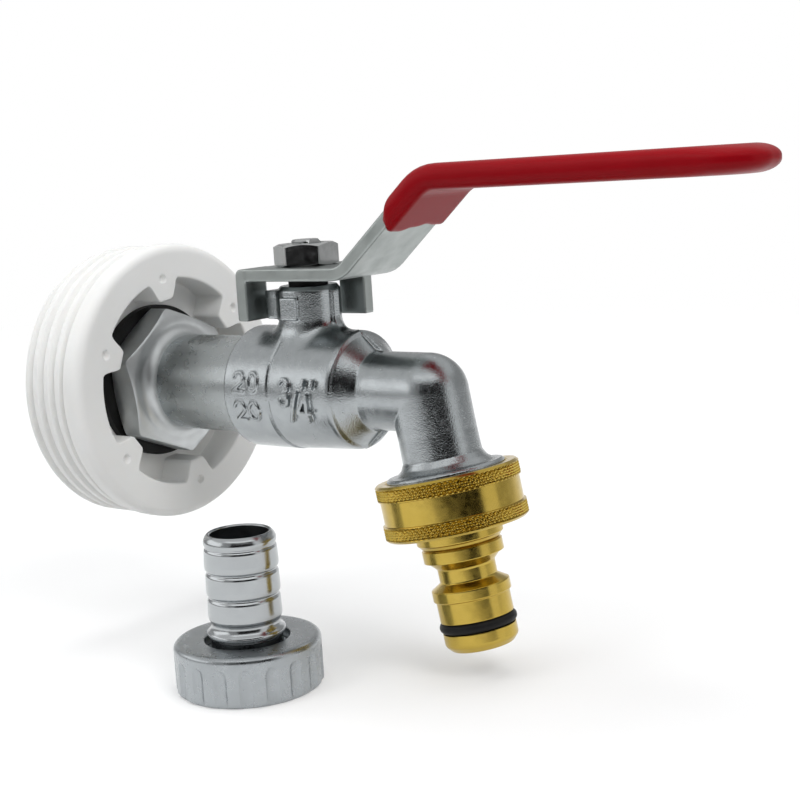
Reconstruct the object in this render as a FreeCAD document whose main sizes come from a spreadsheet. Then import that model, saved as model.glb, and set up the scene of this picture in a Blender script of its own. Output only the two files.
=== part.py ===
import FreeCAD, Part
import math
import os
import types

import Sketcher

# Drum tap adapter: a plastic drum bung, a lever ball tap, a brass quick connector and a loose hose tail.
# Millimetres. X runs along the tap, out of the drum; Z runs up the valve stem.
# The origin lies on the tap's axis where the bung's thread meets the back of its rim.

SIZES = [
    # drum adapter
    ("rim_radius", 33.7, "outer radius of the bung's rim"),
    ("rim_depth", 5.0, "thickness of the rim along the axis"),
    ("rim_round", 2.2, "rounding of the rim's front edge"),
    ("thread_crest_radius", 33.3, "crest of the drum thread"),
    ("thread_depth", 1.7, "crest to root of the drum thread"),
    ("thread_pitch", 3.8, "step from crest to crest"),
    ("thread_land", 1.3, "width of a crest"),
    ("thread_length", 15.0, "length of the threaded skirt"),
    ("skirt_wall", 3.0, "wall of the skirt under the thread's root"),
    ("skirt_draft", 0.4, "taper of the skirt's inside"),
    ("recess_radius", 25.4, "inside of the recess between the lugs"),
    ("recess_depth", 9.3, "depth of the recess from the face"),
    ("floor_thickness", 3.0, "floor of the recess"),
    ("boss_radius", 17.0, "boss that the tap screws into"),
    ("boss_length", 10.2, "length of the boss from the recess floor"),
    ("lug_radius", 20.3, "tips of the six lugs"),
    ("lug_tip_half", 2.4, "half width of a lug at its tip"),
    ("lug_root_half", 5.2, "half width of a lug at its root"),
    ("lug_turn", 38.0, "angle of the first lug, from +Y towards +Z"),
    ("dimple_radius", 1.0, "dimple in each lug"),
    ("dimple_circle", 25.7, "circle of the dimples"),
    ("dimple_depth", 1.2, "depth of a dimple"),
    # inlet
    ("pipe_thread_radius", 13.2, "G 3/4 male thread, crest"),
    ("thread_gap", 0.1, "gap in a screwed joint, on the radius"),
    ("washer_thickness", 2.0, "inlet washer"),
    ("washer_radius", 18.7, "inlet washer, outside"),
    ("hex_flats", 32.0, "hexagon of the inlet, across flats"),
    ("hex_length", 7.5, "hexagon of the inlet, along the axis"),
    ("hex_chamfer", 1.1, "chamfer of the hexagon's corners, along the axis"),
    ("tube_radius", 11.5, "tube of the inlet"),
    ("tube_fillet", 2.7, "rounding between the hexagon and the tube"),
    ("nipple_tail", 9.5, "inlet thread behind the hexagon and washer"),
    ("inlet_bore_radius", 8.0, "bore of the inlet"),
    ("spigot_radius", 12.0, "part of the inlet inside the body"),
    ("joint_ring_section", 1.5, "thickness of the joint ring"),
    # body
    ("collar_start", 32.0, "rear face of the body's collar"),
    ("collar_end", 45.5, "front of the collar"),
    ("collar_radius", 14.2, "radius of the collar"),
    ("chamber_end", 63.0, "front rim of the ball chamber"),
    ("chamber_outer_radius", 13.9, "body behind the stem"),
    ("chamber_rim_radius", 13.3, "body at its front rim"),
    ("shoulder_length", 4.2, "cone from the body to the spout"),
    ("spout_radius", 8.8, "outside of the spout"),
    ("spout_bore_radius", 6.6, "bore of the spout"),
    ("elbow_x", 80.0, "where the spout turns down"),
    ("outlet_tilt", 11.0, "lean of the outlet away from upright"),
    ("outlet_radius", 8.7, "outlet below the elbow"),
    ("flare_start", 12.0, "outlet's flare, from the elbow"),
    ("flare_radius", 11.0, "outlet at the end of the flare"),
    ("outlet_shoulder", 16.6, "start of the outlet's thread, from the elbow"),
    ("outlet_end", 26.3, "end of the outlet's thread, from the elbow"),
    # ball and stem
    ("stem_x", 48.0, "axis of the stem"),
    ("ball_radius", 11.7, "ball"),
    ("ball_bore_radius", 7.5, "bore of the ball"),
    ("seat_width", 3.6, "seat ring, along the axis"),
    ("seat_inner_radius", 7.9, "seat ring, inside"),
    ("seat_gap", 0.06, "running gap between ball and seat"),
    ("stem_radius", 3.6, "stem"),
    ("stem_flats", 5.4, "stem and lever hole, across flats"),
    ("stem_gap", 0.05, "running gap round the stem"),
    ("stem_collar_radius", 5.4, "collar that holds the stem in"),
    ("stem_collar_height", 2.1, "height of that collar"),
    ("tongue_width", 4.0, "tongue in the ball's slot"),
    ("tongue_length", 10.0, "length of the tongue"),
    ("tongue_depth", 2.6, "depth of the tongue"),
    ("thrust_thickness", 0.8, "thrust washer under the neck"),
    ("neck_radius", 7.2, "neck round the stem"),
    ("neck_floor", 15.2, "top of the stem's counterbore"),
    ("neck_top", 23.7, "top of the neck"),
    ("neck_chamfer", 1.2, "chamfer of the neck's top edge"),
    ("ring_groove_height", 18.0, "middle of the stem's ring groove"),
    ("ring_section", 1.1, "thickness of the stem's ring"),
    ("gland_radius", 4.5, "gland ring under the lever"),
    ("lug_reach", 12.4, "reach of the stop lug from the stem"),
    ("stop_half", 2.0, "half width of the stop lug"),
    ("stop_low", 16.7, "underside of the stop lug"),
    ("stop_height", 4.6, "height of the stop lug"),
    ("lip_reach", 8.8, "reach of the lip on the stop lug, from the stem"),
    ("lip_near", 5.2, "near edge of that lip, from the stem"),
    ("lip_far", 1.2, "far edge of that lip, from the stem"),
    ("lip_thickness", 1.5, "thickness of that lip"),
    ("rib_width", 2.2, "rib down the front of the neck"),
    ("rib_proud", 0.8, "how far that rib stands out of the neck"),
    # lever
    ("plate_low", 25.2, "underside of the lever's plate"),
    ("plate_thickness", 2.9, "thickness of the lever"),
    ("plate_width", 19.7, "width of the lever at the stem"),
    ("handle_width", 17.4, "width of the lever at its tip"),
    ("plate_rear", 10.4, "rear edge of the plate, from the stem"),
    ("taper_start", 18.4, "where the lever starts to taper, from the stem"),
    ("first_bend", 16.4, "first bend, from the stem"),
    ("arm_slope", 41.0, "slope of the arm"),
    ("handle_rise", 19.7, "rise from the plate to the handle"),
    ("lever_reach", 110.8, "tip of the steel, from the stem"),
    ("tip_round", 7.5, "corner rounding of the lever's tip"),
    ("bend_radius", 2.4, "inside radius of the bends"),
    ("tab_low", 16.2, "lower edge of the two tabs"),
    ("tab_length", 7.4, "length of each tab"),
    ("tab_clearance", 0.4, "gap between a tab and the stop lug"),
    ("cut_margin", 5.0, "how far cutting shapes run past the lever"),
    ("side_tab_inset", 8.1, "inner face of the side tab, from the stem"),
    ("grip_thickness", 1.3, "red sleeve over the steel"),
    ("grip_start", 29.6, "edge of the sleeve, from the stem"),
    ("nut_flats", 13.0, "lever nut, across flats"),
    ("nut_height", 5.0, "height of the lever nut"),
    ("nut_turn", 32.0, "angle of the nut's first corner"),
    ("stem_end", 0.9, "stem above the nut"),
    # quick connector, lengths from the elbow down the outlet
    ("ring_start", 17.4, "top of the knurled ring"),
    ("knurl_radius", 15.95, "knurled bands"),
    ("knurl_width", 3.5, "width of each knurled band"),
    ("band_radius", 15.45, "smooth band between them"),
    ("ring_length", 12.4, "length of the knurled ring"),
    ("ring_chamfer", 0.5, "chamfer of the ring's edges"),
    ("packing_thickness", 2.0, "washer in the connector"),
    ("packing_bore", 6.6, "bore of that washer, radius"),
    ("nose_bore_radius", 5.2, "bore of the nose"),
    ("bead_radius", 9.6, "bead under the ring"),
    ("bead_length", 2.6, "length of that bead"),
    ("drum_radius", 8.9, "short cylinder under the bead"),
    ("drum_length", 2.6, "length of that cylinder"),
    ("neck_small_radius", 6.4, "waist of the nose"),
    ("waist_start", 38.0, "start of the waist"),
    ("latch_start", 41.1, "end of the waist"),
    ("latch_radius", 8.65, "latch land of the nose"),
    ("latch_slope", 1.4, "slope up to the latch land"),
    ("latch_length", 2.3, "length of the latch land"),
    ("nose_radius", 8.15, "body of the nose"),
    ("nose_ring_start", 49.6, "start of the nose's ring groove"),
    ("nose_ring_section", 2.3, "thickness of the nose's ring"),
    ("nose_end", 56.2, "end of the nose"),
    ("nose_lead", 1.4, "lead at the end of the nose"),
    # hose tail and union nut
    ("tail_x", 48.0, "place of the hose tail"),
    ("tail_y", -29.0, "place of the hose tail"),
    ("tail_base", -61.8, "surface that the union nut stands on"),
    ("union_radius", 16.2, "outside of the union nut"),
    ("union_height", 11.1, "height of the union nut"),
    ("union_thread_radius", 12.25, "thread of the union nut, crest"),
    ("union_thread_length", 4.6, "length of that thread"),
    ("union_relief_radius", 12.9, "relief above the thread"),
    ("union_lip", 2.3, "lip that holds the tail's flange"),
    ("union_hole_radius", 9.4, "hole in the lip"),
    ("flute_count", 18, "flutes round the nut"),
    ("flute_radius", 2.3, "radius of a flute"),
    ("flute_depth", 0.55, "depth of a flute"),
    ("flute_top", 2.6, "plain rim above the flutes"),
    ("tail_bore_radius", 6.4, "bore of the hose tail"),
    ("tail_root_radius", 7.6, "hose tail between the barbs"),
    ("barb_radius", 8.2, "crest of a barb"),
    ("barb_count", 3, "barbs"),
    ("barb_first", 4.9, "lowest barb above the nut"),
    ("barb_step", 5.6, "step from barb to barb"),
    ("barb_land", 0.9, "width of a barb's crest"),
    ("bead_above", 1.9, "bead above the nut"),
    ("tail_above", 23.6, "top of the hose tail above the nut"),
    ("tail_flange_radius", 12.0, "flange in the nut"),
    ("tail_washer_radius", 12.6, "washer in the nut"),
    ("tail_washer_bore", 7.0, "bore of that washer, radius"),
    ("tail_washer_thickness", 1.8, "washer in the nut"),
    ("tail_gap", 0.1, "gap between flange, washer and nut, along the axis"),
]

document = FreeCAD.newDocument("DrumTapAdapter")
sheet = document.addObject("Spreadsheet::Sheet", "Sizes")
for row, (alias, value, meaning) in enumerate(SIZES, start=1):
    sheet.set(f"A{row}", alias)
    sheet.set(f"B{row}", str(value))
    sheet.set(f"C{row}", meaning)
    sheet.setAlias(f"B{row}", alias)
document.recompute()


class Size:
    """A size with its value and the expression that binds it to the sheet."""

    def __init__(self, value, text):
        self.value = value
        self.text = text

    def __add__(self, other):
        return joined(self, "+", other, self.value + number(other))

    def __radd__(self, other):
        return joined(other, "+", self, number(other) + self.value)

    def __sub__(self, other):
        return joined(self, "-", other, self.value - number(other))

    def __rsub__(self, other):
        return joined(other, "-", self, number(other) - self.value)

    def __mul__(self, other):
        return joined(self, "*", other, self.value * number(other))

    def __rmul__(self, other):
        return joined(other, "*", self, number(other) * self.value)

    def __truediv__(self, other):
        return joined(self, "/", other, self.value / number(other))

    def __neg__(self):
        return Size(-self.value, f"(0 - {self.text})")


def number(term):
    return term.value if isinstance(term, Size) else float(term)


def words(term):
    return term.text if isinstance(term, Size) else repr(float(term))


def joined(left, sign, right, value):
    return Size(value, f"({words(left)} {sign} {words(right)})")


def sine(angle):
    return Size(math.sin(math.radians(number(angle))), f"sin({words(angle)})")


def cosine(angle):
    return Size(math.cos(math.radians(number(angle))), f"cos({words(angle)})")


def tangent(angle):
    return Size(math.tan(math.radians(number(angle))), f"tan({words(angle)})")


def root(term):
    return Size(math.sqrt(number(term)), f"sqrt({words(term)})")


s = types.SimpleNamespace(**{alias: Size(float(value), f"Sizes.{alias}") for alias, value, _ in SIZES})


def bind(thing, path, term):
    if isinstance(term, Size):
        thing.setExpression(path, term.text)
    else:
        setattr(thing, path, term)


def new_body(name):
    body = document.addObject("PartDesign::Body", name)
    body.Label = name
    return body


def sketch_on(body, role, name, base=(0, 0, 0), turn=None):
    """A sketch on one of the body's origin planes; turn swings it about the plane's normal."""
    plane = [feature for feature in body.Origin.OriginFeatures if feature.Role == role][0]
    sketch = body.newObject("Sketcher::SketchObject", name)
    sketch.AttachmentSupport = [(plane, "")]
    sketch.MapMode = "FlatFace"
    if turn is not None:
        axis = FreeCAD.Vector(0, 0, 1 if number(turn) >= 0 else -1)
        sketch.AttachmentOffset = FreeCAD.Placement(
            FreeCAD.Vector(0, 0, 0), FreeCAD.Rotation(axis, abs(number(turn))))
        sketch.setExpression("AttachmentOffset.Rotation.Angle", f"abs({words(turn)})")
    for letter, term in zip("xyz", base):
        if isinstance(term, Size) or term != 0:
            sketch.setExpression(f"AttachmentOffset.Base.{letter}", words(term))
    return sketch


def place_point(sketch, edge, end, across, up):
    for kind, term, axis in (("DistanceX", across, -2), ("DistanceY", up, -1)):
        if not isinstance(term, Size) and term == 0:
            sketch.addConstraint(Sketcher.Constraint("PointOnObject", edge, end, axis))
            continue
        index = sketch.addConstraint(Sketcher.Constraint(kind, edge, end, number(term)))
        if isinstance(term, Size):
            sketch.setExpression(f"Constraints[{index}]", term.text)


def outline(sketch, corners):
    """A closed outline. A corner is (across, up); with a radius and a side, its next edge is an arc."""
    spots = [FreeCAD.Vector(number(corner[0]), number(corner[1]), 0) for corner in corners]
    ends = []
    for index, corner in enumerate(corners):
        start = spots[index]
        end = spots[(index + 1) % len(spots)]
        if len(corner) == 2:
            ends.append((sketch.addGeometry(Part.LineSegment(start, end), False), 1, 2))
            continue
        radius, side = corner[2], corner[3]
        chord = end - start
        left = FreeCAD.Vector(-chord.y, chord.x, 0).normalize()
        height = math.sqrt(max(number(radius) ** 2 - (chord.Length / 2) ** 2, 0))
        centre = (start + end) / 2 + left * (height if side == "left" else -height)
        first, last = (start, end) if side == "left" else (end, start)
        circle = Part.Circle(centre, FreeCAD.Vector(0, 0, 1), number(radius))
        angles = [math.atan2(spot.y - centre.y, spot.x - centre.x) for spot in (first, last)]
        edge = sketch.addGeometry(Part.ArcOfCircle(circle, *angles), False)
        constraint = sketch.addConstraint(Sketcher.Constraint("Radius", edge, number(radius)))
        if isinstance(radius, Size):
            sketch.setExpression(f"Constraints[{constraint}]", radius.text)
        ends.append((edge, 1, 2) if side == "left" else (edge, 2, 1))
    for index, (edge, begin, finish) in enumerate(ends):
        following, start_of_next, _ = ends[(index + 1) % len(ends)]
        sketch.addConstraint(Sketcher.Constraint("Coincident", edge, finish, following, start_of_next))
        place_point(sketch, edge, begin, corners[index][0], corners[index][1])


def ring(sketch, radius, centre=(0, 0)):
    circle = Part.Circle(FreeCAD.Vector(number(centre[0]), number(centre[1]), 0),
                         FreeCAD.Vector(0, 0, 1), number(radius))
    edge = sketch.addGeometry(circle, False)
    index = sketch.addConstraint(Sketcher.Constraint("Radius", edge, number(radius)))
    if isinstance(radius, Size):
        sketch.setExpression(f"Constraints[{index}]", radius.text)
    place_point(sketch, edge, 3, centre[0], centre[1])


def hexagon(sketch, flats, first_turn):
    corner_radius = flats / (2 * cosine(30))
    outline(sketch, [(corner_radius * cosine(first_turn + 60 * step), corner_radius * sine(first_turn + 60 * step))
                     for step in range(6)])


def turned(body, corners, role="XY_Plane", axis="H_Axis", base=(0, 0, 0), turn=None, cut=False, name="Turned"):
    """A shape turned about one axis of its sketch; cut takes it away from the body."""
    sketch = sketch_on(body, role, name + "Outline", base, turn)
    outline(sketch, corners)
    feature = body.newObject("PartDesign::Groove" if cut else "PartDesign::Revolution", name)
    feature.Profile = sketch
    feature.ReferenceAxis = (sketch, [axis])
    feature.Angle = 360
    return feature


def padded(body, sketch, length, name, cut=False, reverse=False, middle=False):
    feature = body.newObject("PartDesign::Pocket" if cut else "PartDesign::Pad", name)
    feature.Profile = sketch
    bind(feature, "Length", length)
    feature.Reversed = reverse
    if middle:
        feature.Midplane = True
    return feature


def around(body, originals, count, role, name):
    """Copies of features round one of the body's own axes."""
    axis = [feature for feature in body.Origin.OriginFeatures if feature.Role == role][0]
    pattern = body.newObject("PartDesign::PolarPattern", name)
    pattern.Originals = originals
    pattern.Axis = (axis, [""])
    pattern.Angle = 360
    bind(pattern, "Occurrences", count)
    body.Tip = pattern
    return pattern


def straight_edges(shape, direction, places, reach=0.6):
    """Names of the straight edges along a direction that pass near one of the places (x, z)."""
    names = []
    for index, edge in enumerate(shape.Edges, start=1):
        if edge.Curve.TypeId != "Part::GeomLine" or abs(edge.Curve.Direction.dot(direction)) < 0.999:
            continue
        middle = edge.CenterOfMass
        if any(math.hypot(middle.x - number(x), middle.z - number(z)) < reach for x, z in places):
            names.append(f"Edge{index}")
    return names


def rounded(body, base, edges, radius, name):
    feature = body.newObject("PartDesign::Fillet", name)
    feature.Base = (base, edges)
    bind(feature, "Radius", radius)
    return feature


def stand_at(body, x=0, y=0, z=0):
    for letter, term in (("x", x), ("y", y), ("z", z)):
        if isinstance(term, Size):
            body.setExpression(f"Placement.Base.{letter}", term.text)


def hang_on_outlet(body):
    """Turn a body's own X axis down the outlet, with its origin at the elbow."""
    turn = 90 - s.outlet_tilt
    body.Placement = FreeCAD.Placement(
        FreeCAD.Vector(0, 0, 0), FreeCAD.Rotation(FreeCAD.Vector(0, 1, 0), number(turn)))
    body.setExpression("Placement.Rotation.Angle", turn.text)
    stand_at(body, x=s.elbow_x)


recess_floor = s.rim_depth - s.recess_depth
hex_rear = recess_floor + s.washer_thickness
hex_front = hex_rear + s.hex_length
plate_top = s.plate_low + s.plate_thickness
nut_top = plate_top + s.nut_height
seat_contact = s.ball_radius * 0.62
spigot_end = s.stem_x - seat_contact - s.seat_width
joint_groove = s.collar_start + 1.5


def drum_adapter():
    body = new_body("drum_adapter")
    boss_bore = s.pipe_thread_radius + s.thread_gap
    boss_rear = recess_floor - s.boss_length
    floor_rear = recess_floor - s.floor_thickness
    root_radius = s.thread_crest_radius - s.thread_depth
    skirt_inner = root_radius - s.skirt_wall
    flank = (s.thread_pitch - s.thread_land) * 0.3
    corners = [
        (boss_rear, boss_bore),
        (boss_rear, s.boss_radius),
        (floor_rear, s.boss_radius),
        (floor_rear, skirt_inner - s.skirt_draft),
        (-s.thread_length, skirt_inner),
        (-s.thread_length, root_radius),
    ]
    crests = int(number(s.thread_length / s.thread_pitch))
    for step in reversed(range(crests + 1)):
        rear = -(s.thread_pitch * step) - s.thread_land
        if number(rear - flank) > -number(s.thread_length):
            corners += [(rear - flank, root_radius), (rear, s.thread_crest_radius)]
            corners.append((rear + s.thread_land, s.thread_crest_radius))
            if step:
                corners.append((rear + s.thread_land + flank, root_radius))
    corners += [
        (0, s.rim_radius),
        (s.rim_depth - s.rim_round, s.rim_radius, s.rim_round, "right"),
        (s.rim_depth, s.rim_radius - s.rim_round),
        (s.rim_depth, s.recess_radius),
        (recess_floor, s.recess_radius),
        (recess_floor, boss_bore),
    ]
    turned(body, corners, name="Shell")
    lug_sketch = sketch_on(body, "YZ_Plane", "LugOutline", base=(0, 0, recess_floor), turn=s.lug_turn)
    lug_root = s.recess_radius + 1.5
    outline(lug_sketch, [
        (s.lug_radius, -s.lug_tip_half),
        (lug_root, -s.lug_root_half),
        (lug_root, s.lug_root_half),
        (s.lug_radius, s.lug_tip_half),
    ])
    lug = padded(body, lug_sketch, s.recess_depth, "Lug")
    dimple_sketch = sketch_on(body, "YZ_Plane", "DimpleOutline", base=(0, 0, s.rim_depth), turn=s.lug_turn)
    ring(dimple_sketch, s.dimple_radius, (s.dimple_circle, 0))
    dimple = padded(body, dimple_sketch, s.dimple_depth, "Dimple", cut=True)
    around(body, [lug, dimple], 6, "X_Axis", "Lugs")
    return body


def flat_ring(name, start, thickness, inner, outer):
    """A flat washer on the tap's axis."""
    body = new_body(name)
    turned(body, [(start, inner), (start, outer), (start + thickness, outer), (start + thickness, inner)])
    return body


def inlet_nipple():
    body = new_body("inlet_nipple")
    thread_rear = recess_floor - s.nipple_tail
    groove_end = joint_groove + s.joint_ring_section + 0.4
    groove_radius = s.spigot_radius - s.joint_ring_section
    turned(body, [
        (thread_rear, s.inlet_bore_radius),
        (thread_rear, s.pipe_thread_radius - 1),
        (thread_rear + 1, s.pipe_thread_radius),
        (hex_rear, s.pipe_thread_radius),
        (hex_rear, s.hex_flats / 2 - 0.6),
        (hex_front, s.hex_flats / 2 - 0.6),
        (hex_front, s.tube_radius + s.tube_fillet, s.tube_fillet, "left"),
        (hex_front + s.tube_fillet, s.tube_radius),
        (s.collar_start + 0.8, s.tube_radius),
        (s.collar_start + 0.8, s.spigot_radius),
        (joint_groove, s.spigot_radius),
        (joint_groove, groove_radius),
        (groove_end, groove_radius),
        (groove_end, s.spigot_radius),
        (spigot_end, s.spigot_radius),
        (spigot_end, s.inlet_bore_radius),
    ])
    hex_sketch = sketch_on(body, "YZ_Plane", "HexOutline", base=(0, 0, hex_rear))
    hexagon(hex_sketch, s.hex_flats, s.lug_turn)
    ring(hex_sketch, s.tube_radius - 1)
    padded(body, hex_sketch, s.hex_length, "Hex")
    edge_radius = s.hex_flats / 2 - 0.3
    outside = s.hex_flats / (2 * cosine(30)) + 1
    slope = outside - edge_radius
    for name, face, inward in (("RearChamfer", hex_rear, 1), ("FrontChamfer", hex_front, -1)):
        turned(body, [
            (face - inward * 0.5, edge_radius - slope * 0.2),
            (face + inward * s.hex_chamfer * 1.6, outside),
            (face - inward * 0.5, outside),
        ], cut=True, name=name)
    return body


def torus(name, ring_radius, section, x=0, z=0, tilt=0):
    """A ring of round section; tilt turns its axis from Z towards X."""
    shape = document.addObject("Part::Torus", name)
    shape.Label = name
    bind(shape, "Radius1", ring_radius)
    bind(shape, "Radius2", section / 2)
    if isinstance(tilt, Size) or tilt:
        shape.Placement = FreeCAD.Placement(
            FreeCAD.Vector(0, 0, 0), FreeCAD.Rotation(FreeCAD.Vector(0, 1, 0), number(tilt)))
        shape.setExpression("Placement.Rotation.Angle", words(tilt))
    stand_at(shape, x=x, z=z)
    return shape


def valve_body():
    body = new_body("valve_body")
    shoulder_end = s.chamber_end + s.shoulder_length
    turned(body, [
        (s.collar_start, 0),
        (s.collar_start, s.collar_radius - 0.7),
        (s.collar_start + 0.7, s.collar_radius),
        (s.collar_end - 0.3, s.collar_radius),
        (s.collar_end, s.chamber_outer_radius),
        (s.chamber_end - 1.2, s.chamber_rim_radius, 1.2, "right"),
        (s.chamber_end, s.chamber_rim_radius - 1.2),
        (shoulder_end - 0.8, s.spout_radius + 0.6),
        (shoulder_end + 0.8, s.spout_radius),
        (s.elbow_x, s.spout_radius),
        (s.elbow_x, 0),
    ], name="Chamber")
    knee = body.newObject("PartDesign::AdditiveSphere", "Knee")
    bind(knee, "Radius", s.spout_radius)
    knee.setExpression("Placement.Base.x", s.elbow_x.text)
    outlet_turn = s.outlet_tilt - 90
    turned(body, [
        (0, 0),
        (0, s.outlet_radius),
        (s.flare_start, s.outlet_radius),
        (s.outlet_shoulder - 1.2, s.flare_radius - 0.4),
        (s.outlet_shoulder, s.flare_radius),
        (s.outlet_shoulder, s.pipe_thread_radius - 0.5),
        (s.outlet_shoulder + 0.5, s.pipe_thread_radius),
        (s.outlet_end - 0.8, s.pipe_thread_radius),
        (s.outlet_end, s.pipe_thread_radius - 0.8),
        (s.outlet_end, 0),
    ], role="XZ_Plane", base=(s.elbow_x, 0, 0), turn=outlet_turn, name="Outlet")
    turned(body, [
        (0, 0),
        (s.neck_radius, 0),
        (s.neck_radius, s.neck_top - s.neck_chamfer),
        (s.neck_radius - s.neck_chamfer, s.neck_top),
        (0, s.neck_top),
    ], role="XZ_Plane", axis="V_Axis", base=(s.stem_x, 0, 0), name="Neck")
    lug_sketch = sketch_on(body, "XY_Plane", "StopOutline", base=(s.stem_x, 0, s.stop_low))
    stub_start = s.stop_half - s.lug_reach
    outline(lug_sketch, [
        (-s.neck_radius + 2, s.stop_half),
        (stub_start, s.stop_half, s.stop_half * 1.05, "left"),
        (stub_start, -s.stop_half),
        (-s.neck_radius + 2, -s.stop_half),
    ])
    padded(body, lug_sketch, s.stop_height, "StopLug")
    block_sketch = sketch_on(body, "XY_Plane", "BlockOutline", base=(s.stem_x, 0, s.stop_low - 0.4))
    outline(block_sketch, [
        (-s.neck_radius - 1.2, -s.stop_half),
        (-s.neck_radius - 1.2, -s.stop_half * 2.7),
        (-s.neck_radius / 2, -s.stop_half * 2.7),
        (-s.neck_radius / 2, -s.stop_half),
    ])
    padded(body, block_sketch, s.stop_height + 0.6, "StopBlock")
    lip_sketch = sketch_on(body, "XY_Plane", "LipOutline", base=(s.stem_x, 0, s.stop_low + s.stop_height - 0.2))
    outline(lip_sketch, [
        (-s.lip_reach, -s.lip_near),
        (-s.neck_radius / 2, -s.lip_near),
        (-s.neck_radius / 2, s.lip_far),
        (-s.lip_reach, s.lip_far),
    ])
    padded(body, lip_sketch, s.lip_thickness + 0.2, "StopLip")
    rib_sketch = sketch_on(body, "XY_Plane", "RibOutline", base=(s.stem_x, 0, 0))
    outline(rib_sketch, [
        (s.neck_radius / 2, -s.rib_width / 2),
        (s.neck_radius + s.rib_proud, -s.rib_width / 2),
        (s.neck_radius + s.rib_proud, s.rib_width / 2),
        (s.neck_radius / 2, s.rib_width / 2),
    ])
    padded(body, rib_sketch, s.neck_top - s.neck_chamfer, "Rib")
    turned(body, [
        (s.collar_start - 1, 0),
        (s.collar_start - 1, s.spigot_radius + s.thread_gap),
        (s.stem_x + seat_contact + s.seat_width, s.spigot_radius + s.thread_gap),
        (s.stem_x + seat_contact + s.seat_width, 0),
    ], cut=True, name="ChamberBore")
    turned(body, [
        (s.stem_x, 0),
        (s.stem_x, s.spout_bore_radius),
        (s.elbow_x, s.spout_bore_radius),
        (s.elbow_x, 0),
    ], cut=True, name="SpoutBore")
    knee_bore = body.newObject("PartDesign::SubtractiveSphere", "KneeBore")
    bind(knee_bore, "Radius", s.spout_bore_radius)
    knee_bore.setExpression("Placement.Base.x", s.elbow_x.text)
    turned(body, [
        (0, 0),
        (0, s.spout_bore_radius),
        (s.outlet_end + 1, s.spout_bore_radius),
        (s.outlet_end + 1, 0),
    ], role="XZ_Plane", base=(s.elbow_x, 0, 0), turn=outlet_turn, cut=True, name="OutletBore")
    turned(body, [
        (0, 0),
        (s.stem_collar_radius + 0.3, 0),
        (s.stem_collar_radius + 0.3, s.neck_floor),
        (s.stem_radius + s.stem_gap, s.neck_floor),
        (s.stem_radius + s.stem_gap, s.neck_top + 1),
        (0, s.neck_top + 1),
    ], role="XZ_Plane", axis="V_Axis", base=(s.stem_x, 0, 0), cut=True, name="StemBore")
    return body


def seat_ring(name, side):
    """One PTFE seat; side is 1 in front of the ball and -1 behind it."""
    body = new_body(name)
    inner = seat_contact
    outer = seat_contact + s.seat_width
    ball = s.ball_radius + s.seat_gap
    outer_radius = s.spigot_radius
    lip = root(ball * ball - inner * inner)
    corners = [
        (side * inner, lip),
        (side * inner, outer_radius),
        (side * outer, outer_radius),
        (side * outer, s.seat_inner_radius),
        (side * root(ball * ball - s.seat_inner_radius * s.seat_inner_radius), s.seat_inner_radius,
         ball, "right" if side < 0 else "left"),
    ]
    turned(body, corners)
    stand_at(body, x=s.stem_x)
    return body


def valve_ball():
    sphere = document.addObject("Part::Sphere", "BallSphere")
    bind(sphere, "Radius", s.ball_radius)
    bore = document.addObject("Part::Cylinder", "BallBore")
    bind(bore, "Radius", s.ball_bore_radius)
    bind(bore, "Height", s.ball_radius * 2 + 2)
    bore.Placement = FreeCAD.Placement(FreeCAD.Vector(0, 0, 0), FreeCAD.Rotation(FreeCAD.Vector(0, 1, 0), 90))
    stand_at(bore, x=-s.ball_radius - 1)
    slot = document.addObject("Part::Box", "BallSlot")
    bind(slot, "Length", s.tongue_width + 2 * s.tail_gap)
    bind(slot, "Width", s.ball_radius * 2)
    bind(slot, "Height", s.ball_radius)
    tongue_low = s.neck_floor - s.thrust_thickness - s.stem_collar_height - s.tongue_depth
    stand_at(slot, x=-(s.tongue_width / 2 + s.tail_gap), y=-s.ball_radius, z=tongue_low - s.tail_gap)
    cuts = document.addObject("Part::MultiFuse", "BallCuts")
    cuts.Shapes = [bore, slot]
    ball = document.addObject("Part::Cut", "valve_ball")
    ball.Label = "valve_ball"
    ball.Base = sphere
    ball.Tool = cuts
    stand_at(ball, x=s.stem_x)
    return ball


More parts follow.
